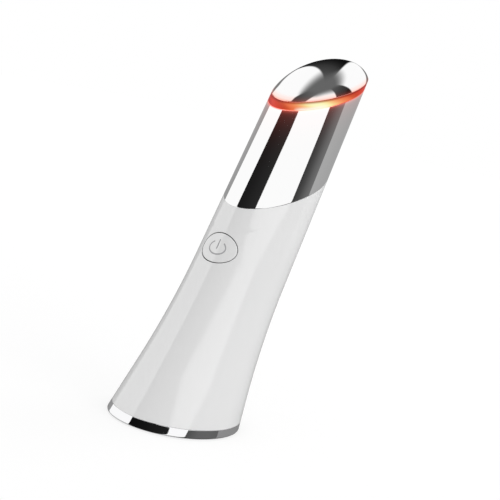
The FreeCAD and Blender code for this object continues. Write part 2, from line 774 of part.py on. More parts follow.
def charge_chips():
    """Charging controller and a capacitor: x and y ranges and height on the charge board."""
    chips = [(-2.2, 1.0, 1.0, 4.0, 1.0), (2.0, 3.2, 1.5, 3.5, 0.6)]
    return [box(row, x0, x1, y0, y1, charge_board_top, charge_board_top + height)
            for x0, x1, y0, y1, height in chips]


def usb_shell():
    outer = usb_slot(0, usb_mouth, charge_board_low)
    return outer.cut(usb_slot(-usb_wall, 0, charge_board_low - usb_back))


def usb_tongue():
    back = charge_board_low - usb_back
    block = usb_slot(-usb_wall, back - insulator_depth, back)
    half_width, half_height = tongue_width / 2, tongue_thickness / 2
    tongue = box(along(row, 0, usb_behind, 0), -half_width, half_width, -half_height, half_height,
                 usb_mouth + tongue_recess, back - insulator_depth + merge)
    return fused([block, tongue])


# ---- leads ------------------------------------------------------------------------------------
def lead(name, points):
    """A wire along straight runs joined by tangent arcs, each as large as its two runs allow."""
    edges, radii, start = [], [], points[0]
    for before, corner, after in zip(points, points[1:], points[2:]):
        into, out = corner - before, after - corner
        share = 0.45 * min(into.Length, out.Length)
        half_turn = into.getAngle(out) / 2
        into.normalize()
        out.normalize()
        bend = share / math.tan(half_turn)
        enter, leave = corner - into * share, corner + out * share
        inward = (out - into).normalize()
        middle = corner + inward * bend * (1 / math.cos(half_turn) - 1)
        edges += [Part.LineSegment(start, enter), Part.Arc(enter, middle, leave)]
        radii.append(bend)
        start = leave
    edges.append(Part.LineSegment(start, points[-1]))
    path = Part.Wire([edge.toShape() for edge in edges])
    section = Part.Wire(Part.Circle(points[0], points[1] - points[0], lead_radius).toShape())
    wire = path.makePipeShell([section], True, True)
    expected = path.Length * math.pi * lead_radius ** 2
    bends = ", ".join(f"{bend:.1f}" for bend in radii)
    print(f"{name}: {path.Length:.1f} mm, radii {bends}, volume ratio {wire.Volume / expected:.4f}")
    return placed(wire, wand)


def battery_leads():
    socket, behind = -socket_pitch, cell_axis + 0.6
    return [
        lead("battery lead", [
            Vector(x, behind, battery_high), Vector(x, behind, battery_high + 5.2),
            Vector(x - 2.4, -2.0, board_high + 4.6), Vector(socket + x, lead_front, board_high + 3.8),
            Vector(socket + x, lead_front, upper_entry)])
        for x in pair(0.7)
    ]


def motor_leads():
    low = cap_low - tag_length
    return [
        lead("motor lead", [
            Vector(x, 0, low), Vector(x, 0, low - 2.6),
            Vector(0.4 * x, lead_front, low - 3.4), Vector(0.4 * x, lead_front, upper_entry)])
        for x in pair(tag_offset)
    ]


def charge_leads():
    leads = []
    for x in pair(1.0):
        start = wand.inverse().multVec(Vector(x, -3.5, charge_board_top))
        bend = wand.inverse().multVec(Vector(x, -3.5, charge_board_top + 5.2))
        leads.append(lead("charge lead", [
            start, bend, Vector(x, lead_front, lower_entry - 3.0), Vector(x, lead_front, lower_entry)]))
    return leads


def head_leads():
    """Two leads from the board past the motor, and through the carrier to the lamp board."""
    leads = []
    for (x, y), side in zip(head_lead_ends, pair(0.7)):
        under_board = rim_height + carrier_top / slant + slope * (y - lead_radius) - post_gap
        leads.append(lead("head lead", [
            Vector(socket_pitch + side, lead_front, upper_entry),
            Vector(socket_pitch + side, lead_front, upper_entry + 8.0),
            Vector(x + 0.6, y - 0.9, crossbar_top - 9.0),
            Vector(x, y, crossbar_top + 3.0),
            Vector(x, y, under_board)]))
    return leads


parts = {
    "handle_shell": handle_shell,
    "power_button": power_button,
    "power_symbol": power_symbol,
    "main_board": main_board,
    "tact_switch": tact_switch,
    "switch_plunger": switch_plunger,
    "board_chips": board_chips,
    "lead_sockets": lead_sockets,
    "inner_frame": inner_frame,
    "battery_cell": battery_cell,
    "motor_can": motor_can,
    "motor_end_cap": motor_end_cap,
    "motor_boot": motor_boot,
    "motor_shaft": motor_shaft,
    "eccentric_weight": eccentric_weight,
    "chrome_barrel": chrome_barrel,
    "frame_screws": frame_screws,
    "light_ring": light_ring,
    "massage_plate": massage_plate,
    "head_carrier": head_carrier,
    "plate_screws": plate_screws,
    "led_board": led_board,
    "ring_leds": ring_leds,
    "heater_pad": heater_pad,
    "heater_backing": heater_backing,
    "thermistor": thermistor,
    "base_ring": base_ring,
    "base_cap": base_cap,
    "base_screws": base_screws,
    "foot_ballast": foot_ballast,
    "foot_pad": foot_pad,
    "charge_board": charge_board,
    "charge_chips": charge_chips,
    "usb_shell": usb_shell,
    "usb_tongue": usb_tongue,
    "battery_leads": battery_leads,
    "motor_leads": motor_leads,
    "charge_leads": charge_leads,
    "head_leads": head_leads,
}


def main():
    os.makedirs("parts", exist_ok=True)
    for name, make in parts.items():
        made = make()
        shapes = made if isinstance(made, list) else [made]
        solids = [solid for shape in shapes for solid in shape.Solids]
        Part.makeCompound(solids).exportStep(f"parts/{name}.step")
        volume = sum(solid.Volume for solid in solids)
        print(f"{name}: {len(solids)} solids, {volume:.1f} mm3, valid {all(s.isValid() for s in solids)}")


main()
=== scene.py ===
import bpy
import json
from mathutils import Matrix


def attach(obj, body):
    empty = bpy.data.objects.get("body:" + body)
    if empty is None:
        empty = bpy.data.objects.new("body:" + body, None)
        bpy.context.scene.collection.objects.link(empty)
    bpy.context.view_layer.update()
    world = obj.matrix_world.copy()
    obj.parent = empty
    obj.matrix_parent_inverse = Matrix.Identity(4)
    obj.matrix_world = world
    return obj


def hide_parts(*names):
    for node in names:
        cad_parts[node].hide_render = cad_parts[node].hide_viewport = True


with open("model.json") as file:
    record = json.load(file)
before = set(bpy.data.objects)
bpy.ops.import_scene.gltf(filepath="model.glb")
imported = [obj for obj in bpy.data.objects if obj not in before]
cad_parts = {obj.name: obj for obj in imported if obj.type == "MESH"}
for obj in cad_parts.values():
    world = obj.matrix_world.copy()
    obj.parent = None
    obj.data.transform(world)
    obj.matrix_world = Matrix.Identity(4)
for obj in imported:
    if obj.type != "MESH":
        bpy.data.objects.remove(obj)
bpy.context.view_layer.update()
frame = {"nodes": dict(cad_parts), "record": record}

import json
import math

import bmesh
import bpy
from mathutils import Matrix, Vector

mm = 0.001                               # shapes are in millimetres, in the wand's own axes, until placed
nodes = frame["nodes"]
scene = bpy.context.scene

# the wand's form, which every piece follows
form = {
    "lean": math.radians(19.7),          # the axis leans back this far
    "cut": math.radians(42.3),           # slope of the head's rim across the axis
    "joinCut": math.radians(43.4),       # slope of the join between handle and barrel
    "footRadius": 19.7,                  # where the axis meets the table
    "flare": math.radians(8.7),
    "blend": 290.0,                      # radius of the long curve from the flare to the barrel
    "joinHeight": 78.6,
    "barrelLength": 35.15,
    "barrelRadius": 14.0,
    "taper": math.radians(1.15),
}
rimHeight = form["joinHeight"] + form["barrelLength"]
wandToRow = Matrix.Rotation(-form["lean"], 4, "X") @ Matrix.Scale(mm, 4)


def linear(hexText):
    # sRGB hex to the linear colour that a shader takes
    parts = [int(hexText[i:i + 2], 16) / 255 for i in (1, 3, 5)]
    return [p / 12.92 if p <= 0.04045 else ((p + 0.055) / 1.055) ** 2.4 for p in parts] + [1.0]


def addNode(tree, kind, settings={}, inputs={}):
    # a shader node with its settings, and with its inputs set or linked
    node = tree.nodes.new("ShaderNode" + kind)
    for name, value in settings.items():
        setattr(node, name, value)
    for name, value in inputs.items():
        if isinstance(value, bpy.types.NodeSocket):
            tree.links.new(value, node.inputs[name])
        else:
            node.inputs[name].default_value = value
    return node


def maths(tree, operation, *values):
    # result of a sum with numbers or linked values
    return addNode(tree, "Math", {"operation": operation}, dict(enumerate(values))).outputs[0]


def emptyTree(owner):
    # nodes of a new material or world, with none in it
    owner.use_nodes = True
    owner.node_tree.nodes.clear()
    return owner.node_tree


def newMaterial(name, sockets):
    # a material with one shader, whose plain inputs are set
    material = bpy.data.materials.new(name)
    tree = emptyTree(material)
    shader = addNode(tree, "BsdfPrincipled", inputs=sockets)
    addNode(tree, "OutputMaterial", inputs={"Surface": shader.outputs[0]})
    return material, tree, shader


def objectPlace(tree, stretch=(1, 1, 1)):
    # place on the piece in metres, in the wand's own axes, for a pattern that may be longer in some of them
    place = addNode(tree, "TexCoord").outputs["Object"]
    return addNode(tree, "Mapping", {"vector_type": "TEXTURE"}, {
        "Vector": place, "Scale": stretch, "Rotation": (-form["lean"], 0, 0)}).outputs[0]


def noise(tree, place, size, detail=3.0, rough=0.5):
    # soft mottling, with grains about this many millimetres across
    return addNode(tree, "TexNoise", inputs={
        "Vector": place, "Scale": 1 / (size * mm), "Detail": detail, "Roughness": rough}).outputs["Fac"]


def spread(tree, value, low, high, fromLow=0.3, fromHigh=0.7):
    # a value between two others brought to run from low to high; the two fit a noise
    return addNode(tree, "MapRange", inputs={
        "Value": value, "From Min": fromLow, "From Max": fromHigh, "To Min": low, "To Max": high}).outputs[0]


def ramp(tree, value, stops, interpolation="LINEAR"):
    # colours by a value, as pairs of a position and a hex text
    node = addNode(tree, "ValToRGB", inputs={"Fac": value})
    node.color_ramp.interpolation = interpolation
    elements = node.color_ramp.elements
    while len(elements) < len(stops):
        elements.new(1.0)
    for element, (position, colour) in zip(elements, stops):
        element.position = position
        element.color = linear(colour)
    return node.outputs["Color"]


def relief(tree, shader, height, depth):
    # raise the surface by a pattern, this many millimetres deep
    bump = addNode(tree, "Bump", inputs={"Height": height, "Distance": depth * mm, "Strength": 1.0})
    tree.links.new(bump.outputs[0], shader.inputs["Normal"])


def wear(tree, shader, place, size, low, high):
    # polish that varies softly over the surface
    tree.links.new(spread(tree, noise(tree, place, size), low, high), shader.inputs["Roughness"])


print("form and shader helpers ready")

stage = {
    "floorSize": 4.0,
    "floorShade": "#898989",
    "floorGlow": (0.752, 0.812),         # floor as the camera sees it, near and far, before its own shading
    "floorReach": (0.1, 1.6),            # how many metres away near and far are
    "floorBounce": "#D8D8D8",            # floor as matt surfaces see it
    "ambient": 0.86,                     # plain level that matt surfaces are lit at
    "lampAim": (0, 0.02, 0.06),          # middle of the wand, in metres
    "cardRadius": 400.0,                 # low cards stand round the wand's axis at this distance
    "cardSteps": 36,
    "footRow": 120.0,                    # the foot mirrors the cards below this height, the barrel the rest
}
# name, place in metres, size and power
lamps = [("sideLamp", (0.85, 0.07, 0.4), 0.6, 1.75), ("backLamp", (0.1, 0.7, 0.6), 0.4, 1.0)]
# low cards: at each height along the axis the azimuths of both edges, from the front, and greys across,
# which differ for the low rows that the foot mirrors
lowCards = [
    {"name": "blackCard",
     "greys": ["#1A1A1A", "#1E1E1E", "#242424", "#282828"],
     "footGreys": ["#0E0E0E", "#141414", "#1A1A1A", "#202020"],
     "rows": [(-1500, -31.1, 37.5), (103, -31.1, 37.5), (143, -36.2, 12.3), (200, -32.6, 13.7),
              (222, -31.8, 12.0)]},
    {"name": "darkCard",
     "greys": ["#363636", "#4A4A4A", "#626262", "#707070"],
     "footGreys": ["#4E4E4E", "#626262", "#646464", "#606060"],
     "rows": [(-1500, 66.4, 125.4), (100, 66.4, 125.4), (160, 89.4, 131.4), (207, 86.9, 128.5),
              (236, 82.8, 124.0)]},
    {"name": "greyCard",
     "greys": ["#AAAAAA", "#A4A4A4", "#A8A8A8", "#989898"],
     "footGreys": ["#8E8E8E", "#8C8C8C", "#888888", "#989898"],
     "rows": [(-1500, 125.4, 263.5), (100, 125.4, 265.5), (160, 131.4, 270.5), (207, 128.5, 274.5),
              (236, 124.0, 275.5), (303, 128.0, 258.0)]},
]
canopy = {
    "reach": 420.0, "height": 116.0,     # its radius, and its middle's height along the axis
    "span": math.radians(73), "steps": 160,
    "pale": 255, "veilDepth": 153,
    # greys of the two arms, by azimuth
    "armGreys": [(-141, 30), (-136, 14), (-130, 22), (-124, 33), (-118, 42), (-112, 52), (-105, 58),
                 (-95, 65), (-75, 76), (-55, 85), (0, 100), (33, 100), (47, 84), (60, 76), (70, 67),
                 (83, 56), (89, 52), (94, 42), (98, 30), (102, 24), (115, 24)],
    # edges of each form: shares of the slope to the right and of the slope to the front, and where their sum
    # begins the form and where it is full
    "veil": [(1, 0, -0.62, -0.2), (-0.35, 1, -0.13, 0.21), (-1, -0.37, -0.9, -0.4), (0, -1, -1.2, -0.85)],
    "strip": [(-1, 0.03, -0.26, -0.14), (0, 1, 0.62, 1.02)],
    "backArm": [(-1.62, 1, 0.27, 0.33), (-1, 0, -0.02, 0.34)],
    "sideArm": [(0.92, 1, 0.425, 0.465), (-0.12, -1, -0.47, -0.43), (1, 0, 0.18, 0.38)],
    # the strip's left edge is two lines that meet, by the slope to the front
    "stripLeft": [(0.308, -0.71), (-0.08, -0.4)],
    "stripSoft": (0.06, 0.5, 1.05),      # half its softness, its growth, and the slope behind which it grows
    "stripGrey": (88, 40),               # its grey in the middle, and how that grows to the right
    # the back arm's edge is bowed, by the slope to the right; the last number is half its softness
    "backBow": (0.4, 0.62, -0.19, 0.02),
    "backClimb": (18, 21), "sideClimb": (28, 32),   # degrees above level where each arm begins and is full
    # a grey skirt round the back: how high it reaches in degrees, and the azimuths between which it climbs
    "skirt": (26, 40), "skirtClimb": (138, 158), "skirtStart": (102, 108), "skirtSoft": 1.5, "skirtGrey": 122,
}
camera = {
    "place": (234.1, -272.88, 104.77),   # in millimetres
    "right": (0.74839, 0.63383, 0.19538),
    "down": (0.23797, 0.01835, -0.9711),
    "forward": (-0.6191, 0.77326, -0.1371),
    "lens": 87.55, "sensor": 36.0, "nearest": 0.01,
}


def seenRays(tree):
    # 1 for a ray that shows: from the camera, off polished metal or through glass
    rays = addNode(tree, "LightPath").outputs
    mirrored = maths(tree, "MAXIMUM", rays["Is Camera Ray"], rays["Is Glossy Ray"])
    return maths(tree, "MAXIMUM", mirrored, rays["Is Transmission Ray"])


def makeWorld():
    world = bpy.data.worlds.new("paleStudio")
    scene.world = world
    tree = emptyTree(world)
    level = spread(tree, seenRays(tree), stage["ambient"], 1.0, 0.0, 1.0)
    shader = addNode(tree, "Background", inputs={"Color": (1, 1, 1, 1), "Strength": level})
    addNode(tree, "OutputWorld", inputs={"Surface": shader.outputs[0]})


def makeFloor():
    bm = bmesh.new()
    bmesh.ops.create_grid(bm, x_segments=1, y_segments=1, size=stage["floorSize"] / 2)
    floor = meshObject("floor", bm)
    material, tree, shader = newMaterial("paleFloor", {
        "Base Color": linear(stage["floorShade"]), "Roughness": 1.0, "Specular IOR Level": 0.0})
    place = addNode(tree, "TexCoord").outputs["Object"]
    away = addNode(tree, "VectorMath", {"operation": "LENGTH"}, {0: place}).outputs["Value"]
    level = spread(tree, away, *stage["floorGlow"], *stage["floorReach"])
    glow = addNode(tree, "Emission", inputs={"Color": (1, 1, 1, 1), "Strength": level})
    lit = addNode(tree, "AddShader", inputs={0: shader.outputs[0], 1: glow.outputs[0]})
    bounce = addNode(tree, "BsdfDiffuse", inputs={"Color": linear(stage["floorBounce"])})
    both = addNode(tree, "MixShader", inputs={0: seenRays(tree), 1: bounce.outputs[0], 2: lit.outputs[0]})
    output = next(n for n in tree.nodes if n.bl_idname == "ShaderNodeOutputMaterial")
    tree.links.new(both.outputs[0], output.inputs["Surface"])
    floor.data.materials.append(material)
    floor.visible_glossy = False         # polished metal mirrors the surroundings right down to its foot


def meshObject(name, bm, place=None, smooth=False):
    # an object from a finished bmesh
    if place is not None:
        bmesh.ops.transform(bm, matrix=place, verts=bm.verts)
    mesh = bpy.data.meshes.new(name)
    bm.to_mesh(mesh)
    bm.free()
    if smooth:
        mesh.shade_smooth()
    piece = bpy.data.objects.new(name, mesh)
    scene.collection.objects.link(piece)
    return piece


def cardObject(name, bm, greys):
    # a glowing card that only shows in reflections, with its grey kept at each point
    layer = bm.verts.layers.float_color.new("grey")
    for v, grey in zip(bm.verts, greys):
        v[layer] = grey
    piece = meshObject(name, bm, wandToRow)
    material = bpy.data.materials.new(name)
    tree = emptyTree(material)
    grey = addNode(tree, "Attribute", {"attribute_name": "grey"}).outputs["Color"]
    glow = addNode(tree, "Emission", inputs={"Color": grey, "Strength": 1.0})
    addNode(tree, "OutputMaterial", inputs={"Surface": glow.outputs[0]})
    piece.data.materials.append(material)
    piece.visible_camera = False
    piece.visible_diffuse = False
    piece.visible_shadow = False
    piece.visible_transmission = False


def between(stops, share):
    # value at a share of the way through evenly spaced stops
    place = share * (len(stops) - 1)
    index = min(int(place), len(stops) - 2)
    return [a + (b - a) * (place - index) for a, b in zip(stops[index], stops[index + 1])]


def makeLowCard(card):
    # a curved card round the wand's axis
    rows, reach = card["rows"], stage["cardRadius"]
    greys, footGreys = ([linear(grey) for grey in card[name]] for name in ("greys", "footGreys"))
    bm = bmesh.new()
    bmesh.ops.create_grid(bm, x_segments=stage["cardSteps"], y_segments=len(rows) - 1, size=0.5)
    tones = []
    for v in bm.verts:
        across = v.co.x + 0.5
        height, left, right = rows[round((v.co.y + 0.5) * (len(rows) - 1))]
        turn = math.radians(left + (right - left) * across)
        v.co = (reach * math.sin(turn), -reach * math.cos(turn), height)
        tones.append(between(footGreys if height < stage["footRow"] else greys, across))
    cardObject(card["name"], bm, tones)


def rise(value, low, high):
    # smooth step from 0 to 1
    share = min(1, max(0, (value - low) / (high - low)))
    return share * share * (3 - 2 * share)


def formShare(edges, across, front):
    # how fully a form with soft edges covers a direction
    share = 1.0
    for toRight, toFront, low, high in edges:
        share *= rise(toRight * across + toFront * front, low, high)
    return share


def armGrey(turn):
    # grey of the arms at an azimuth
    stops = canopy["armGreys"]
    index = next((i for i, stop in enumerate(stops[1:]) if stop[0] > turn), len(stops) - 2)
    (first, low), (last, high) = stops[index:index + 2]
    return low + (high - low) * min(1, max(0, (turn - first) / (last - first)))


def canopyGrey(across, front):
    # grey of the canopy in a direction that slopes this much to the right and to the front for each unit up
    turn = math.degrees(math.atan2(across, front))
    climb = math.degrees(math.atan2(1, math.hypot(across, front)))
    veil, strip, backArm, sideArm = (
        formShare(canopy[name], across, front) for name in ("veil", "strip", "backArm", "sideArm"))
    left = max(start + slope * front for start, slope in canopy["stripLeft"])
    soft, grows, behind = canopy["stripSoft"]
    soft += grows * max(0, behind - front)
    strip *= rise(across, left - soft, left + soft)
    start, slope, bow, soft = canopy["backBow"]
    backArm *= rise(start + slope * across + bow * across ** 2 - front, -soft, soft)
    backArm *= rise(climb, *canopy["backClimb"])
    sideArm *= rise(climb, *canopy["sideClimb"])
    low, high = canopy["skirt"]
    reach, soft = low + (high - low) * rise(abs(turn), *canopy["skirtClimb"]), canopy["skirtSoft"]
    skirt = rise(-climb, -reach - soft, -reach + soft) * rise(abs(turn), *canopy["skirtStart"])
    middle, grows = canopy["stripGrey"]
    grey = canopy["pale"] - veil * canopy["veilDepth"]
    for shade, share in ((middle + grows * across, strip), (armGrey(turn), backArm),
                         (armGrey(turn), sideArm), (canopy["skirtGrey"], skirt)):
        grey += min(0, shade - grey) * share
    return grey


def makeCanopy():
    # a glowing canopy over the head: pale, with dark arms that meet over it and a soft shade in front
    span, steps = canopy["span"], canopy["steps"]
    bm = bmesh.new()
    bmesh.ops.create_grid(bm, x_segments=steps, y_segments=steps, size=0.5)
    greys = []
    for v in bm.verts:
        across, front = math.tan(2 * span * v.co.x), math.tan(2 * span * v.co.y)
        grey = round(canopyGrey(across, front))
        greys.append(linear("#" + f"{grey:02X}" * 3))
        v.co = Vector((across, -front, 1)).normalized() * canopy["reach"] + Vector((0, 0, canopy["height"]))
    cardObject("canopy", bm, greys)


def makeLamp(name, place, size, power):
    # a soft square lamp that faces the wand
    lamp = bpy.data.lights.new(name, "AREA")
    lamp.size = size
    lamp.energy = power
    thing = bpy.data.objects.new(name, lamp)
    thing.location = place
    thing.rotation_euler = (Vector(stage["lampAim"]) - Vector(place)).to_track_quat("-Z", "Y").to_euler()
    thing.visible_glossy = False
    scene.collection.objects.link(thing)


def makeCamera():
    lens = bpy.data.cameras.new("camera")
    lens.lens = camera["lens"]
    lens.sensor_width = camera["sensor"]
    lens.clip_start = camera["nearest"]
    thing = bpy.data.objects.new("camera", lens)
    right, down, forward = (Vector(camera[k]) for k in ("right", "down", "forward"))
    turn = Matrix((right, -down, -forward)).transposed().to_4x4()
    thing.matrix_world = Matrix.Translation(Vector(camera["place"]) * mm) @ turn
    scene.collection.objects.link(thing)
    scene.camera = thing


makeWorld()
makeFloor()
for card in lowCards:
    makeLowCard(card)
makeCanopy()
for lamp in lamps:
    makeLamp(*lamp)
makeCamera()
scene.view_settings.view_transform = "Standard"
print("stage ready")


def aboveRim(tree):
    # millimetres above the plane of the head's rim
    slope = form["cut"] - form["lean"]
    place = addNode(tree, "TexCoord").outputs["Object"]
    along = addNode(tree, "VectorMath", {"operation": "DOT_PRODUCT"}, {
        0: place, 1: (0, -math.sin(slope) / mm, math.cos(slope) / mm)}).outputs["Value"]
    return maths(tree, "SUBTRACT", along, rimHeight * math.cos(form["cut"]))


def aboveTable(tree):
    # millimetres above the table
    place = addNode(tree, "TexCoord").outputs["Object"]
    height = addNode(tree, "SeparateXYZ", inputs={0: place}).outputs["Z"]
    return maths(tree, "DIVIDE", height, mm)


def glossyAbs():
    # injection-moulded ABS with a clear gloss: white, with soft reflections and a faint moulded ripple;
    # its colour is darkened as painted shade in shut lines and other narrow gaps
    material, tree, shader = newMaterial("whiteGlossAbs", {
        "Roughness": 0.08, "IOR": 1.5, "Specular IOR Level": 1.0})
    place = objectPlace(tree)
    wear(tree, shader, place, 9.0, 0.07, 0.1)
    relief(tree, shader, noise(tree, place, 2.5), 0.002)
    # painted shade: the colour turns dark grey where another surface lies within 1.2 mm
    paintedShadeOpenness = addNode(tree, "AmbientOcclusion", {"samples": 6}, {"Distance": 1.2 * mm}).outputs["AO"]
    tree.links.new(ramp(tree, paintedShadeOpenness, [(0.08, "#4A4A4A"), (0.42, "#EDEDED")]), shader.inputs["Base Color"])
    return material


ringLight = {
    # painted hot spot: the ring's glow is painted brightest on the side that faces the camera
    "bright": math.radians(38.7),        # azimuth of its brightest part, with another straight behind
    "swing": 0.9615,                     # how far the measure falls from 1 there
    # heights here are from the head's rim, in millimetres; the painted hot spot turns a little, low and high
    # on the ring
    "shift": (math.radians(-13), math.radians(-1)), "shiftAt": (-1.6, -0.4),
    "rimShade": "#B4786A", "rimAt": (-0.05, -0.8),   # thin shade under the plate, which dies away downwards
    "burnt": "#FFFCF0", "burntMost": 0.85, "burntAt": (-1.1, -1.8), "burntNear": (0.055, 0.1),
    "strength": 0.95,
    # glow colours by the painted hot spot measure: pale yellow at the spots, deep red midway between them
    "colours": [(0.04, "#FAFEC5"), (0.055, "#F9EDA7"), (0.07, "#F6D28C"), (0.098, "#F5AD70"),
                (0.13, "#F0935B"), (0.17, "#EB7F4C"), (0.223, "#E36C40"), (0.275, "#CC5228"),
                (0.36, "#C23D19"), (0.46, "#CA3313"), (0.62, "#CF331F"), (1.0, "#9E0E0E")],
    # the ring's light is painted onto the plating beside it as a glow, in this colour
    "onMetal": "#FF6A58",                # its light on the plating beside it
    # strength of that light, millimetres in which it dies away, and height where it starts
    "onBarrel": [(0.13, 3.0, -2.0), (0.8, 0.32, -2.0)], "onPlate": [(0.3, -0.35, 0.0)],
    # painted ring light: tints of the barrel's top edge by the painted hot spot measure, and of the plate's
    # rim
    "paintedRingLightBarrel": [(0.08, "#FFFADC"), (0.14, "#E8A080"), (0.24, "#8C4038"), (1.0, "#301410")],
    "paintedRingLightPlate": [(0.0, "#FFBEAE"), (0.4, "#FFEAE4")],
}


def paintedHotSpotSlant(tree, turn=0.0):
    # how far round the wand a place lies from the ring's painted hot spots, on the camera's side and straight
    # behind: 0.04 there, and 1 midway
    lean, bright = form["lean"], ringLight["bright"]
    axis = (0, math.sin(lean), math.cos(lean))
    place = addNode(tree, "TexCoord").outputs["Object"]
    along = addNode(tree, "VectorMath", {"operation": "PROJECT"}, {0: place, 1: axis}).outputs[0]
    side = addNode(tree, "VectorMath", {"operation": "SUBTRACT"}, {0: place, 1: along}).outputs[0]
    outward = addNode(tree, "VectorMath", {"operation": "NORMALIZE"}, {0: side}).outputs[0]
    turned = addNode(tree, "VectorRotate", inputs={
        "Vector": outward, "Axis": axis, "Angle": turn}).outputs[0]
    brightest = (math.sin(bright), -math.cos(bright) * math.cos(lean), math.cos(bright) * math.sin(lean))
    square = addNode(tree, "VectorMath", {"operation": "DOT_PRODUCT"}, {
        0: turned, 1: brightest}).outputs["Value"]
    return maths(tree, "MULTIPLY_ADD", maths(tree, "ABSOLUTE", square), -ringLight["swing"], 1.0)


def platedFinish(name, colour, glow, edge):
    # bright nickel-chrome plating: mirror-like, with the faintest waviness of the surface under it;
    # edge says how high it is, where the edge starts and ends, the tints painted along it, and the ring light
    # painted beside the ring
    material, tree, shader = newMaterial(name, {
        "Base Color": linear(colour), "Metallic": 1.0, "Roughness": 0.03})
    place = objectPlace(tree)
    wear(tree, shader, place, 6.0, 0.02, 0.04)
    if glow:
        # painted light: the plating next to the ring glows with its red light, which dies away
        height, light = aboveRim(tree), 0.0
        for strength, fade, start in glow:
            away = maths(tree, "MULTIPLY_ADD", height, 1 / fade, -start / fade)
            dying = addNode(tree, "Math", {"operation": "EXPONENT", "use_clamp": True}, {0: away})
            light = maths(tree, "MULTIPLY_ADD", dying.outputs[0], strength, light)
        shader.inputs["Emission Color"].default_value = linear(ringLight["onMetal"])
        tree.links.new(light, shader.inputs["Emission Strength"])
    # next to an edge the plating's colour is painted: ring light at the barrel's top and the plate's rim,
    # shade at the base ring's foot
    measure, start, end, paintedEdgeTints, beside = edge
    near = spread(tree, measure(tree), 0.0, 1.0, start, end)
    paintedTint = ramp(tree, near, paintedEdgeTints + [(1.0, colour)], "EASE")
    if beside:
        # and that painted ring light is paler beside the ring's painted hot spots
        paintedRingTint = ramp(tree, paintedHotSpotSlant(tree), beside)
        paintedTint = addNode(tree, "Mix", {"data_type": "RGBA"}, {0: near, 6: paintedRingTint, 7: paintedTint}).outputs[2]
    tree.links.new(paintedTint, shader.inputs["Base Color"])
    return material


def symbolPaint():
    # grey ink in the moulded symbol
    material, tree, shader = newMaterial("greySymbolInk", {
        "Base Color": linear("#A9A9AB"), "Roughness": 0.45})
    place = objectPlace(tree)
    wear(tree, shader, place, 0.3, 0.4, 0.6)
    return material


def redDiffuser():
    # milky red acrylic lit from inside: its glow is painted hot and yellow at a spot on the camera's side and
    # one straight behind, red between them
    material, tree, shader = newMaterial("redDiffuserAcrylic", {
        "Base Color": linear("#4A0C08"), "Roughness": 0.35, "IOR": 1.49, "Specular IOR Level": 0.3,
        "Emission Strength": ringLight["strength"]})
    slant = paintedHotSpotSlant(tree, spread(tree, aboveRim(tree), *ringLight["shift"], *ringLight["shiftAt"]))
    core = ramp(tree, slant, ringLight["colours"])
    edge = spread(tree, aboveRim(tree), 0.0, 1.0, *ringLight["rimAt"])
    shade = ramp(tree, edge, [(0.0, ringLight["rimShade"]), (1.0, "#FFFFFF")], "EASE")
    glow = addNode(tree, "Mix", {"data_type": "RGBA", "blend_type": "MULTIPLY"}, {0: 1.0, 6: core, 7: shade})
    # painted: the lower half burns out to white at those painted hot spots
    low = spread(tree, aboveRim(tree), 0.0, ringLight["burntMost"], *ringLight["burntAt"])
    hot = spread(tree, paintedHotSpotSlant(tree), 1.0, 0.0, *ringLight["burntNear"])
    burnt = maths(tree, "MULTIPLY", low, hot)
    pale = addNode(tree, "Mix", {"data_type": "RGBA"}, {
        0: burnt, 6: glow.outputs[2], 7: linear(ringLight["burnt"])})
    tree.links.new(pale.outputs[2], shader.inputs["Emission Color"])
    return material


def moulded(name, colours, grain, depth, rough, sockets={}):
    # a moulded surface: two close tones in soft patches, and the fine even grain of its mould
    material, tree, shader = newMaterial(name, {"IOR": 1.5, **sockets})
    place = objectPlace(tree)
    fine = noise(tree, place, grain, 4.0, 0.6)
    patches = noise(tree, place, grain * 14)
    tone = ramp(tree, patches, [(0.35, colours[0]), (0.65, colours[1])])
    tree.links.new(tone, shader.inputs["Base Color"])
    tree.links.new(spread(tree, fine, *rough), shader.inputs["Roughness"])
    relief(tree, shader, fine, depth)
    return material


def worked(name, colours, grain, stretch, depth, rough):
    # bare metal: streaks that run the way it was drawn or ground, or grains where it was pressed
    material, tree, shader = newMaterial(name, {"Metallic": 1.0})
    streaks = noise(tree, objectPlace(tree, stretch), grain, 5.0, 0.65)
    tone = ramp(tree, streaks, [(0.35, colours[0]), (0.65, colours[1])])
    tree.links.new(tone, shader.inputs["Base Color"])
    tree.links.new(spread(tree, streaks, *rough), shader.inputs["Roughness"])
    relief(tree, shader, streaks, depth)
    return material


def solderMask():
    # green solder mask over copper: satin, with paler tracks 0.3 mm wide that turn at right angles
    material, tree, shader = newMaterial("greenSolderMask", {
        "IOR": 1.5, "Coat Weight": 0.3, "Coat Roughness": 0.2})
    place = objectPlace(tree)
    cells = addNode(tree, "TexVoronoi", {"distance": "CHEBYCHEV"}, {
        "Vector": place, "Scale": 1 / (3.4 * mm), "Randomness": 0.7}).outputs["Distance"]
    tracks = maths(tree, "PINGPONG", cells, 0.09)
    tone = ramp(tree, tracks, [(0.0, "#1C6A42"), (0.035, "#1C6A42"), (0.045, "#0E4A2C"), (1.0, "#0C4327")])
    tree.links.new(tone, shader.inputs["Base Color"])
    wear(tree, shader, place, 1.2, 0.28, 0.42)
    relief(tree, shader, spread(tree, tracks, 1.0, 0.0, 0.035, 0.05), 0.03)
    return material


def shrinkSleeve():
    # blue heat-shrink film drawn over the cell: glossy, with soft wrinkles round it
    material, tree, shader = newMaterial("blueShrinkSleeve", {
        "IOR": 1.53, "Coat Weight": 0.4, "Coat Roughness": 0.08})
    wrinkles = noise(tree, objectPlace(tree, (4, 4, 1)), 0.9, 2.0)
    patches = noise(tree, objectPlace(tree), 5.0)
    tree.links.new(ramp(tree, patches, [(0.35, "#1F4E9C"), (0.65, "#2A60B4")]), shader.inputs["Base Color"])
    tree.links.new(spread(tree, wrinkles, 0.16, 0.28), shader.inputs["Roughness"])
    relief(tree, shader, wrinkles, 0.05)
    return material


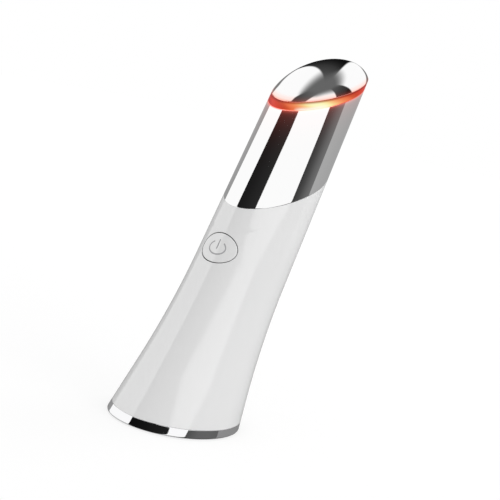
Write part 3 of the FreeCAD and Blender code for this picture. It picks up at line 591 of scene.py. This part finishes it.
def heaterFilm():
    # amber polyimide with etched metal tracks seen through it, 0.45 mm wide and 0.9 mm apart
    material, tree, shader = newMaterial("amberPolyimide", {
        "IOR": 1.7, "Coat Weight": 0.5, "Coat Roughness": 0.1})
    place = objectPlace(tree)
    bands = addNode(tree, "TexWave", {"wave_type": "BANDS", "bands_direction": "X"}, {
        "Vector": place, "Scale": math.pi / 10 / (0.9 * mm), "Distortion": 0.0}).outputs["Fac"]
    tone = ramp(tree, bands, [(0.0, "#B86A1C"), (0.45, "#B86A1C"), (0.55, "#7E4A1E"), (1.0, "#7E4A1E")])
    tree.links.new(tone, shader.inputs["Base Color"])
    wear(tree, shader, place, 0.8, 0.2, 0.34)
    relief(tree, shader, spread(tree, bands, 0.0, 1.0, 0.45, 0.55), 0.02)
    return material


def siliconeFoam():
    # pale silicone foam: matt, with open cells about 0.45 mm across
    material, tree, shader = newMaterial("openSiliconeFoam", {"IOR": 1.41, "Roughness": 0.9})
    place = objectPlace(tree)
    cells = addNode(tree, "TexVoronoi", {"feature": "SMOOTH_F1"}, {
        "Vector": place, "Scale": 1 / (0.45 * mm), "Smoothness": 0.4}).outputs["Distance"]
    tree.links.new(ramp(tree, cells, [(0.1, "#8E8A82"), (0.55, "#D6D2C8")]), shader.inputs["Base Color"])
    relief(tree, shader, cells, 0.12)
    return material


def lampResin():
    # clear epoxy over a red lamp: glassy, with a pink glow that is cloudy inside
    material, tree, shader = newMaterial("clearLampResin", {
        "IOR": 1.54, "Transmission Weight": 0.35, "Base Color": linear("#F4D8D2"), "Emission Strength": 0.9})
    place = objectPlace(tree)
    cloud = noise(tree, place, 0.6)
    tree.links.new(ramp(tree, cloud, [(0.3, "#FF3A24"), (0.7, "#FF8A70")]), shader.inputs["Emission Color"])
    wear(tree, shader, place, 0.5, 0.08, 0.16)
    return material


finishes = {
    "white_gloss": glossyAbs(),
    "symbol_grey": symbolPaint(),
    # the barrel's top edge and the plate's rim take painted ring light
    "plated_abs": platedFinish("chromePlatedAbs", "#FBFBFB", ringLight["onBarrel"], (
        aboveRim, -2.0, -2.35, [], ringLight["paintedRingLightBarrel"])),
    # painted shade: the base ring's colour turns grey along its foot, up to 0.75 mm above the table
    "plated_zinc": platedFinish("chromePlatedZinc", "#F9F9FA", (), (
        aboveTable, 0.35, 0.75, [(0.0, "#8C8C8C")], [])),
    "plated_aluminium": platedFinish("polishedPlatedAluminium", "#FBFBFB", ringLight["onPlate"], (
        aboveRim, 0.0, 1.6, ringLight["paintedRingLightPlate"], [])),
    "red_diffuser": redDiffuser(),
    # inner parts in matt grey ABS from a spark-eroded mould, which gives a dry even grain
    "grey_abs": moulded("greySparkedAbs", ("#8A8C8F", "#939598"), 0.25, 0.012, (0.42, 0.6)),
    # epoxy-moulded chips and small parts, nearly black and finely grained
    "black_plastic": moulded("blackEpoxyMoulding", ("#191919", "#232324"), 0.12, 0.006, (0.4, 0.6)),
    # natural nylon, waxy and slightly see-through at its edges
    "white_nylon": moulded("naturalNylon", ("#E2DDCF", "#ECE8DC"), 0.5, 0.004, (0.32, 0.46),
                           {"Subsurface Weight": 0.2, "Subsurface Scale": 0.0008}),
    # soft black silicone that swallows light
    "black_rubber": moulded("blackSiliconeRubber", ("#1B1B1C", "#222223"), 0.3, 0.01, (0.6, 0.8)),
    # dry grey rubber with a pressed grain that grips the table
    "grey_rubber": moulded("greyFootRubber", ("#54565A", "#5C5E62"), 0.35, 0.02, (0.75, 0.92)),
    # glossy PVC over the leads, with the slight unevenness of an extrusion
    "red_lead": moulded("redPvcSleeve", ("#A81E1A", "#BA2A22"), 0.5, 0.004, (0.22, 0.36)),
    "blue_lead": moulded("bluePvcSleeve", ("#1C3F94", "#254CA6"), 0.5, 0.004, (0.22, 0.36)),
    "white_lead": moulded("whitePvcSleeve", ("#DADAD8", "#E6E6E4"), 0.5, 0.004, (0.22, 0.36)),
    # a drawn can with warm nickel over steel and faint lines along its side
    "nickel_steel": worked("drawnNickelSteel", ("#B9B6AE", "#CFCDC6"), 0.3, (1, 1, 14), 0.002, (0.22, 0.38)),
    # ground bright steel, nearly a mirror
    "bright_steel": worked("groundBrightSteel", ("#CDCDCC", "#DEDEDD"), 0.2, (1, 1, 8), 0.001, (0.1, 0.2)),
    # zinc with a blue passivation that turns faintly yellow in patches
    "zinc_screw": worked("bluePassivatedZinc", ("#A9B4C2", "#CFCDBE"), 0.8, (1, 1, 1), 0.002, (0.25, 0.4)),
    # pressed and sintered tungsten alloy, dull and finely grained
    "heavy_alloy": worked("sinteredTungstenAlloy", ("#6C6C70", "#838388"), 0.15, (1, 1, 1), 0.008,
                          (0.4, 0.6)),
    # blackened steel with an oily mottle
    "ballast_steel": worked("oiledBlackSteel", ("#33312F", "#4E4B47"), 1.6, (1, 1, 1), 0.004, (0.35, 0.55)),
    "circuit_board": solderMask(),
    "cell_sleeve": shrinkSleeve(),
    "polyimide_film": heaterFilm(),
    "silicone_foam": siliconeFoam(),
    "led_resin": lampResin(),
}
slotOf = {part["node"]: part["material_slot"] for part in frame["record"]["subparts"]}
for name, node in nodes.items():
    node.data.materials.clear()
    node.data.materials.append(finishes[slotOf[name]])
print("materials ready")


def formRadius(height):
    # outer radius at a height along the axis: straight taper, long hollow curve, straight flare
    taper, flare, blend = form["taper"], form["flare"], form["blend"]
    tapered = form["barrelRadius"] + (form["joinHeight"] - height) * math.tan(taper)
    flared = form["footRadius"] - height * math.tan(flare)
    meet = ((form["footRadius"] - form["barrelRadius"] - form["joinHeight"] * math.tan(taper))
            / (math.tan(flare) - math.tan(taper)))
    reach = blend * math.tan((flare - taper) / 2)
    top = meet + reach * math.cos(taper)
    bottom = meet - reach * math.cos(flare)
    if height >= top:
        return tapered
    if height <= bottom:
        return flared
    topRadius = form["barrelRadius"] + (form["joinHeight"] - top) * math.tan(taper)
    midRadius, midHeight = topRadius + blend * math.cos(taper), top + blend * math.sin(taper)
    return midRadius - math.sqrt(blend ** 2 - (midHeight - height) ** 2)


def headPlane(height):
    # plane of the head's rim, moved this far square to itself
    return lambda y: rimHeight + height / math.cos(form["cut"]) + y * math.tan(form["cut"])


def joinPlane(height):
    # plane of the join between handle and barrel, moved this far square to itself
    return lambda y: form["joinHeight"] + height / math.cos(form["joinCut"]) + y * math.tan(form["joinCut"])


def floorPlane(height):
    # level plane at this height above the table
    return lambda y: height / math.cos(form["lean"]) + y * math.tan(form["lean"])


meshing = {
    "settle": 14,                        # rounds after which a ring lies on the form to well under a micron
    "cornerSteps": 4,
    "guard": 1.45,                       # lines beside a rounded corner, as a share of its radius
    "merge": 0.002,
    "postSteps": 40,
}


def placeRing(verts, inset, plane):
    # put a ring on the form, taken in by its inset, where the plane cuts it
    for v in verts:
        turn = math.atan2(v.co.y, v.co.x)
        z = plane(0)
        for _ in range(meshing["settle"]):
            reach = formRadius(z) - inset
            z = plane(reach * math.sin(turn))
        v.co = (reach * math.cos(turn), reach * math.sin(turn), z)


def softened(corners, radius, longest, radii={}):
    # closed outline with every corner turned by a small arc, which takes a third of a side at most,
    # a line kept close beside it, and long sides divided
    outline, steps, guard = [], meshing["cornerSteps"], meshing["guard"]
    for index, corner in enumerate(corners):
        middle = Vector(corner)
        toLast = Vector(corners[index - 1]) - middle
        toNext = Vector(corners[(index + 1) % len(corners)]) - middle
        turn = min(radii.get(corner, radius), toLast.length / 3, toNext.length / 3)
        first, last = middle + toLast.normalized() * turn, middle + toNext.normalized() * turn
        outline.append(middle + toLast.normalized() * turn * guard)
        for step in range(steps + 1):
            t = step / steps
            outline.append(first * (1 - t) ** 2 + middle * 2 * t * (1 - t) + last * t ** 2)
        outline.append(middle + toNext.normalized() * turn * guard)
    filled = []
    for index, point in enumerate(outline):
        after = outline[(index + 1) % len(outline)]
        pieces = max(1, math.ceil((after - point).length / longest))
        filled += [point.lerp(after, step / pieces) for step in range(pieces)]
    return filled


def extrudeRing(bm, edges):
    # new ring grown out of the last one
    grown = bmesh.ops.extrude_edge_only(bm, edges=edges)["geom"]
    verts = [g for g in grown if isinstance(g, bmesh.types.BMVert)]
    fresh = set(verts)
    edges = [g for g in grown if isinstance(g, bmesh.types.BMEdge) and fresh.issuperset(g.verts)]
    return verts, edges


def sweepRing(bm, outline, planeOf, steps):
    # sweep a closed outline of (inset, height) round the form
    verts = bmesh.ops.create_circle(bm, cap_ends=False, segments=steps, radius=1.0)["verts"]
    edges = list({edge for v in verts for edge in v.link_edges})
    swept = list(verts)
    placeRing(verts, outline[0][0], planeOf(outline[0][1]))
    for inset, height in outline[1:] + outline[:1]:
        verts, edges = extrudeRing(bm, edges)
        placeRing(verts, inset, planeOf(height))
        swept += verts
    bmesh.ops.remove_doubles(bm, verts=swept, dist=meshing["merge"])
    bmesh.ops.recalc_face_normals(bm, faces=bm.faces)


def addPost(bm, x, radius, bore, heights, planeOf):
    # post along the wand's axis at one side of it, with a blind screw hole from below
    low, holeTop, top = heights
    verts = bmesh.ops.create_circle(bm, cap_ends=True, segments=meshing["postSteps"], radius=bore,
                                    matrix=Matrix.Translation((x, 0, 0)))["verts"]
    edges = list({edge for v in verts for edge in v.link_edges})
    for v in verts:
        v.co.z = planeOf(holeTop)(v.co.y)
    for grow, height in ((1, low), (radius / bore, low), (1, top)):
        verts, edges = extrudeRing(bm, edges)
        for v in verts:
            v.co.xy = x + (v.co.x - x) * grow, v.co.y * grow
            v.co.z = planeOf(height)(v.co.y)
    bmesh.ops.contextual_create(bm, geom=edges)


def squarePlane(height):
    # plane square to the wand's axis
    return lambda y: height


def finishPiece(name, bm, node, slot, body="wand"):
    # the piece stands for a node, has its finish and rides on its body
    piece = meshObject(name, bm, wandToRow, smooth=True)
    piece.data.materials.append(finishes[slot])
    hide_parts(node)
    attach(piece, body)


barrel = {
    "top": -2.0, "wall": 1.6, "edge": 0.12,
    "ledge": (-4.6, -5.6, 5.2),          # its two planes under the rim, and its inset
    "collar": (2.0, 3.5),                # its top over the join, and its inset
    "spigot": (-5.0, 2.1),               # its end below the join, and its outer inset
    "posts": (8.38, 1.9, 0.97),          # distance from the axis, radius, and radius of the screw hole
    "postHeights": (89.6, 96.6, 97.6),   # low end, top of the hole, and top
    "rib": 1.6, "ribGap": 0.3,           # thickness of the ribs from posts to wall, and their gap to the hole
    "longest": 14.0, "steps": 256,
    "rim": 100.0,                        # in the outline, the head's rim; the join is 0
}


def makeBarrel():
    rim, wall = barrel["rim"], barrel["wall"]
    ledgeTop, ledgeLow, ledgeInset = barrel["ledge"]
    collarTop, bore = barrel["collar"]
    spigotLow, spigotInset = barrel["spigot"]
    top, ledgeTop, ledgeLow = rim + barrel["top"], rim + ledgeTop, rim + ledgeLow

    def planeOf(height):
        # planes of the join at the bottom and of the head at the top, and a blend of both between
        low, high, share = joinPlane(min(height, collarTop)), headPlane(max(height, ledgeLow) - rim), 0
        if height > collarTop:
            share = min(1, (height - collarTop) / (ledgeLow - collarTop))
        return lambda y: (1 - share) * low(y) + share * high(y)

    corners = [(0, 0), (0, top), (wall, top), (wall, ledgeTop), (ledgeInset, ledgeTop),
               (ledgeInset, ledgeLow), (wall, ledgeLow), (wall, collarTop), (bore, collarTop),
               (bore, spigotLow), (spigotInset, spigotLow), (spigotInset, 0)]
    bm = bmesh.new()
    sweepRing(bm, softened(corners, barrel["edge"], barrel["longest"]), planeOf, barrel["steps"])
    side, radius, hole = barrel["posts"]
    low, _, high = barrel["postHeights"]
    start = hole + barrel["ribGap"]
    reach = formRadius(high) - wall / 2 - side - start
    for x in (-side, side):
        addPost(bm, x, radius, hole, barrel["postHeights"], squarePlane)
        middle = Vector((x + math.copysign(start + reach / 2, x), 0, (low + high) / 2))
        size = (reach, barrel["rib"], high - low)
        bmesh.ops.create_cube(bm, size=1.0, matrix=Matrix.LocRotScale(middle, None, size))
    bmesh.ops.recalc_face_normals(bm, faces=bm.faces)
    finishPiece("barrelPiece", bm, "chrome_barrel", "plated_abs")


handle = {
    "low": 2.8, "wall": 2.0, "edge": 0.12, "longest": 0.95, "steps": 256,
    "buttonHeight": 51.6,                # along the axis
    "opening": (6.85, 4.9),              # half sizes of the button's oval opening
    "openingEdge": 0.14, "edgeSteps": 4,
    "guard": 1.5,                        # line beside the rounded edge, as a share of it
    "window": (math.radians(41), 6.6),   # half turn and half height of the grid that gives way to the opening
    "windowDepth": 0.4,                  # faces this near a wall belong to it
    "drawIn": (0.35, 0.45, 0.5, 0.6, 1.0),   # each round draws the window's edge in to the oval by this share
    "throat": (0.6, 0.95),               # shares of the wall at which the opening's side is divided
}


def ovalPlace(v, halfWidth, halfHeight, share, inset):
    # move a point on the front towards the button's oval, and onto the form
    x, z = v.co.x, v.co.z - handle["buttonHeight"]
    turn = math.atan2(z / halfHeight, x / halfWidth)
    x += (halfWidth * math.cos(turn) - x) * share
    z += (halfHeight * math.sin(turn) - z) * share
    height = handle["buttonHeight"] + z
    v.co = (x, -math.sqrt((formRadius(height) - inset) ** 2 - x ** 2), height)


def openWall(bm, inset, planes, shut):
    # take a window out of one wall of the handle, and draw its edge in to the oval
    low, high = planes
    span, reach = handle["window"]
    front = -formRadius(handle["buttonHeight"])
    shares = [(handle["buttonHeight"] + side - low(front)) / (high(front) - low(front))
              for side in (-reach, reach)]
    doomed = []
    for face in bm.faces:
        middle = face.calc_center_median()
        share = (middle.z - low(middle.y)) / (high(middle.y) - low(middle.y))
        depth = formRadius(middle.z) - math.hypot(middle.x, middle.y)
        turned = abs(math.atan2(middle.x, -middle.y))
        if turned < span and shares[0] < share < shares[1] and abs(depth - inset) < handle["windowDepth"]:
            doomed.append(face)
    bmesh.ops.delete(bm, geom=doomed, context="FACES")
    edges = [edge for edge in bm.edges if edge.is_boundary and edge not in shut]
    halfWidth, halfHeight = handle["opening"]
    grow = handle["openingEdge"] * handle["guard"] if inset == 0 else 0.0
    for share in handle["drawIn"]:
        verts, edges = extrudeRing(bm, edges)
        for v in verts:
            ovalPlace(v, halfWidth + grow, halfHeight + grow, share, inset)
    return edges


def makeHandle():
    wall = handle["wall"]
    low, high = floorPlane(handle["low"]), joinPlane(0)
    length = high(0) - low(0)

    def wallPlane(height):
        # a plane that turns from level at the foot to the join's slope at the top
        share = height / length
        return lambda y: (1 - share) * low(y) + share * high(y)

    bm = bmesh.new()
    outline = softened([(0, 0), (0, length), (wall, length), (wall, 0)], handle["edge"], handle["longest"])
    sweepRing(bm, outline, wallPlane, handle["steps"])
    outer = openWall(bm, 0, (low, high), set())
    halfWidth, halfHeight = handle["opening"]
    edge, steps = handle["openingEdge"], handle["edgeSteps"]
    lip = [(edge * (1 - math.sin(turn)), edge * (1 - math.cos(turn)))
           for turn in (math.radians(90 * step / steps) for step in range(steps + 1))]
    lip += [(0, edge * handle["guard"])] + [(0, wall * share) for share in handle["throat"]]
    for grow, inset in lip:
        verts, outer = extrudeRing(bm, outer)
        for v in verts:
            ovalPlace(v, halfWidth + grow, halfHeight + grow, 1.0, inset)
    inner = openWall(bm, wall, (low, high), set(outer))
    bmesh.ops.bridge_loops(bm, edges=outer + inner)
    bmesh.ops.recalc_face_normals(bm, faces=bm.faces)
    finishPiece("handlePiece", bm, "handle_shell", "white_gloss")


button = {
    "half": (6.6, 4.65), "steps": 128,
    "edge": 0.2, "edgeSteps": 5, "guard": 1.6,   # rounded edge, and the line beside it as a share of it
    "middle": (0.35, 0.25),              # half sizes of the small face in its middle
    "faceRings": (0.9, 1.5, 2.1, 2.7, 3.3, 3.9, 4.5, 5.1, 5.7, 6.1),   # half widths of the rings round it
    "flange": (0.9, 2.1, 2.9),           # how far it reaches out, and its two depths
    "stem": (1.5, 11.342),               # radius, and distance of its end from the axis
}


def makeButton():
    halfWidth, halfHeight = button["half"]
    edge = button["edge"]
    reach, depth, back = button["flange"]
    stemRadius, stemEnd = button["stem"]
    wide, high = button["middle"]
    guard, steps = edge * button["guard"], button["edgeSteps"]
    height = handle["buttonHeight"]
    bm = bmesh.new()
    verts = bmesh.ops.create_circle(bm, cap_ends=True, segments=button["steps"], radius=1.0)["verts"]
    edges = list({e for v in verts for e in v.link_edges})
    for v in verts:
        v.co = (v.co.x * wide, 0, height + v.co.y * high)
        ovalPlace(v, wide, high, 1.0, 0)
    rings = [(-halfWidth + size, -halfHeight + size * halfHeight / halfWidth, 0)
             for size in button["faceRings"]]
    rings += [(-guard, -guard, 0)]
    for turn in (math.radians(90 * step / steps) for step in range(steps + 1)):
        inward = -edge * (1 - math.sin(turn))
        rings.append((inward, inward, edge * (1 - math.cos(turn))))
    rings += [(0, 0, guard), (0, 0, depth), (reach, reach, depth), (reach, reach, back)]
    for growX, growZ, inset in rings:
        verts, edges = extrudeRing(bm, edges)
        for v in verts:
            ovalPlace(v, halfWidth + growX, halfHeight + growZ, 1.0, inset)
    for place in (formRadius(height) - back, stemEnd):
        verts, edges = extrudeRing(bm, edges)
        for v in verts:
            turn = math.atan2((v.co.z - height) / (halfHeight + reach), v.co.x / (halfWidth + reach))
            if place == stemEnd:
                turn = math.atan2(v.co.z - height, v.co.x)
            v.co = (stemRadius * math.cos(turn), -place, height + stemRadius * math.sin(turn))
    bmesh.ops.contextual_create(bm, geom=edges)
    bmesh.ops.recalc_face_normals(bm, faces=bm.faces)
    finishPiece("powerButtonPiece", bm, "power_button", "white_gloss", "button")


symbol = {
    "half": (3.1, 2.1), "line": 0.42, "opening": math.radians(72),
    "bar": (-0.5, 2.7),                  # its low and high end, from the button's middle
    "film": (0.002, 0.012),              # how proud of the button the back and the front of the ink lie
    "ringSteps": 72, "barSteps": 24, "acrossSteps": 3,
}


def makeSymbol():
    # open ring and bar, as inked lines that lie on the button
    halfWidth, halfHeight = symbol["half"]
    line, opening, height = symbol["line"] / 2, symbol["opening"], handle["buttonHeight"]
    low, high = symbol["bar"]
    back, front = symbol["film"]
    across = symbol["acrossSteps"]
    bm = bmesh.new()
    ring = bmesh.ops.create_grid(bm, x_segments=symbol["ringSteps"], y_segments=across, size=0.5)["verts"]
    for v in ring:
        turn = math.pi / 2 + opening / 2 + (v.co.x + 0.5) * (2 * math.pi - opening)
        side = 2 * line * v.co.y
        v.co = ((halfWidth + side) * math.cos(turn), 0, height + (halfHeight + side) * math.sin(turn))
    bar = bmesh.ops.create_grid(bm, x_segments=across, y_segments=symbol["barSteps"], size=0.5)["verts"]
    for v in bar:
        v.co = (2 * line * v.co.x, 0, height + low + (high - low) * (v.co.y + 0.5))
    grown = bmesh.ops.extrude_face_region(bm, geom=bm.faces[:], use_keep_orig=True)["geom"]
    face = {g for g in grown if isinstance(g, bmesh.types.BMVert)}
    for v in bm.verts:
        proud = front if v in face else back
        v.co.y = -math.sqrt((formRadius(v.co.z) + proud) ** 2 - v.co.x ** 2)
    bmesh.ops.recalc_face_normals(bm, faces=bm.faces)
    finishPiece("powerSymbolPiece", bm, "power_symbol", "symbol_grey", "button")


lightRing = {
    "rim": 2.4, "height": 2.0, "floor": 0.3,   # width of its top, height of its outside, floor's thickness
    "lip": (1.7, 2.9, -4.5),             # its outer and inner inset, and its low end
    "edge": 0.1, "longest": 0.8, "steps": 256,
}


def makeLightRing():
    rim, height = lightRing["rim"], lightRing["height"]
    lipOut, lipIn, lipLow = lightRing["lip"]
    ledge = -height + lightRing["floor"]
    corners = [(0, -height), (0, 0), (rim, 0), (rim, ledge), (lipIn, ledge), (lipIn, lipLow),
               (lipOut, lipLow), (lipOut, -height)]
    bm = bmesh.new()
    outline = softened(corners, lightRing["edge"], lightRing["longest"])
    sweepRing(bm, outline, headPlane, lightRing["steps"])
    finishPiece("lightRingPiece", bm, "light_ring", "red_diffuser")


plate = {
    # how high the dome is, how far its top leans up the slope, and the ball's latitude at the rim
    "rise": 7.4, "tip": math.radians(27.3), "start": math.radians(19.2), "grid": 64,
    "rim": (0.08, 0.5),                  # insets of the first rings under the rim
    "lip": (2.5, 3.6, -1.0),             # its outer and inner inset, and its low end
    "pocket": (3.75, 1.5, 4.0),          # inset, how far its sides lean in, and its ceiling
    "posts": (6.2, 2.0, 0.97),           # distance from the axis, radius, and radius of the screw hole
    "postHeights": (-2.45, 2.4, 4.1),    # from the rim: low end, top of the hole, and top
}


def makePlate():
    # the cap of a ball of even quads, stretched onto the oblique rim and leant up its slope
    cone = math.tan(form["taper"]) * math.tan(form["cut"])
    slant = math.cos(form["cut"])
    radius = formRadius(rimHeight) / (1 - cone ** 2)
    rise, tip, start = plate["rise"], plate["tip"], plate["start"]
    stretch = Matrix((
        (radius * math.sqrt(1 - cone ** 2), 0, 0, 0),
        (0, radius / slant, rise * math.sin(tip), -radius * cone / slant),
        (0, 0, rise * math.cos(tip), 0),
        (0, 0, 0, 1)))
    head = Matrix.Translation((0, 0, rimHeight)) @ Matrix.Rotation(form["cut"], 4, "X")
    bm = bmesh.new()
    bmesh.ops.create_cube(bm, size=2)
    bmesh.ops.subdivide_edges(bm, edges=bm.edges, cuts=plate["grid"] - 1, use_grid_fill=True)
    for v in bm.verts:
        v.co = Vector([math.tan(part * math.pi / 4) for part in v.co]).normalized()
    bmesh.ops.bisect_plane(bm, geom=bm.verts[:] + bm.edges[:] + bm.faces[:], dist=1e-5,
                           plane_co=(0, 0, 0), plane_no=(0, 0, 1), clear_inner=True)   # the lower half goes
    for v in bm.verts:
        # half ball to cap: squeeze the latitudes, then let the rim be 1 and the top 1
        around = math.atan2(v.co.y, v.co.x)
        latitude = start + (math.pi / 2 - start) * math.asin(min(1, v.co.z)) / (math.pi / 2)
        out = math.cos(latitude) / math.cos(start)
        v.co = (out * math.cos(around), out * math.sin(around),
                (math.sin(latitude) - math.sin(start)) / (1 - math.sin(start)))
    bmesh.ops.transform(bm, matrix=head @ stretch, verts=bm.verts)
    edges = [edge for edge in bm.edges if edge.is_boundary]
    lipOut, lipIn, lipLow = plate["lip"]
    pocketInset, leanIn, ceiling = plate["pocket"]
    rings = [(inset, 0) for inset in plate["rim"]]
    rings += [(lipOut, 0), (lipOut, lipLow), (lipIn, lipLow), (lipIn, 0), (pocketInset, 0),
              (pocketInset + leanIn, ceiling)]
    for inset, height in rings:
        verts, edges = extrudeRing(bm, edges)
        placeRing(verts, inset, headPlane(height))
    bmesh.ops.contextual_create(bm, geom=edges)
    side, postRadius, hole = plate["posts"]
    for x in (-side, side):
        addPost(bm, x, postRadius, hole, plate["postHeights"], headPlane)
    bmesh.ops.recalc_face_normals(bm, faces=bm.faces)
    finishPiece("massagePlatePiece", bm, "massage_plate", "plated_aluminium")


baseRing = {
    "low": 0.3, "top": 2.8, "wall": 1.2,
    "shelf": (2.0, 2.1),                 # inset and low side of the lip that the handle stands on
    "footEdge": 0.45, "edge": 0.1, "longest": 0.8, "steps": 256,
}


def makeBaseRing():
    low, top, wall = baseRing["low"], baseRing["top"], baseRing["wall"]
    shelfInset, shelfLow = baseRing["shelf"]
    corners = [(0, low), (0, top), (shelfInset, top), (shelfInset, shelfLow), (wall, shelfLow), (wall, low)]
    outline = softened(corners, baseRing["edge"], baseRing["longest"], {(0, low): baseRing["footEdge"]})
    bm = bmesh.new()
    sweepRing(bm, outline, floorPlane, baseRing["steps"])
    finishPiece("baseRingPiece", bm, "base_ring", "plated_zinc")


makeHandle()
makeButton()
makeSymbol()
print("handle and button ready")
makeBarrel()
makeLightRing()
makePlate()
makeBaseRing()
print("barrel, ring and plate ready")
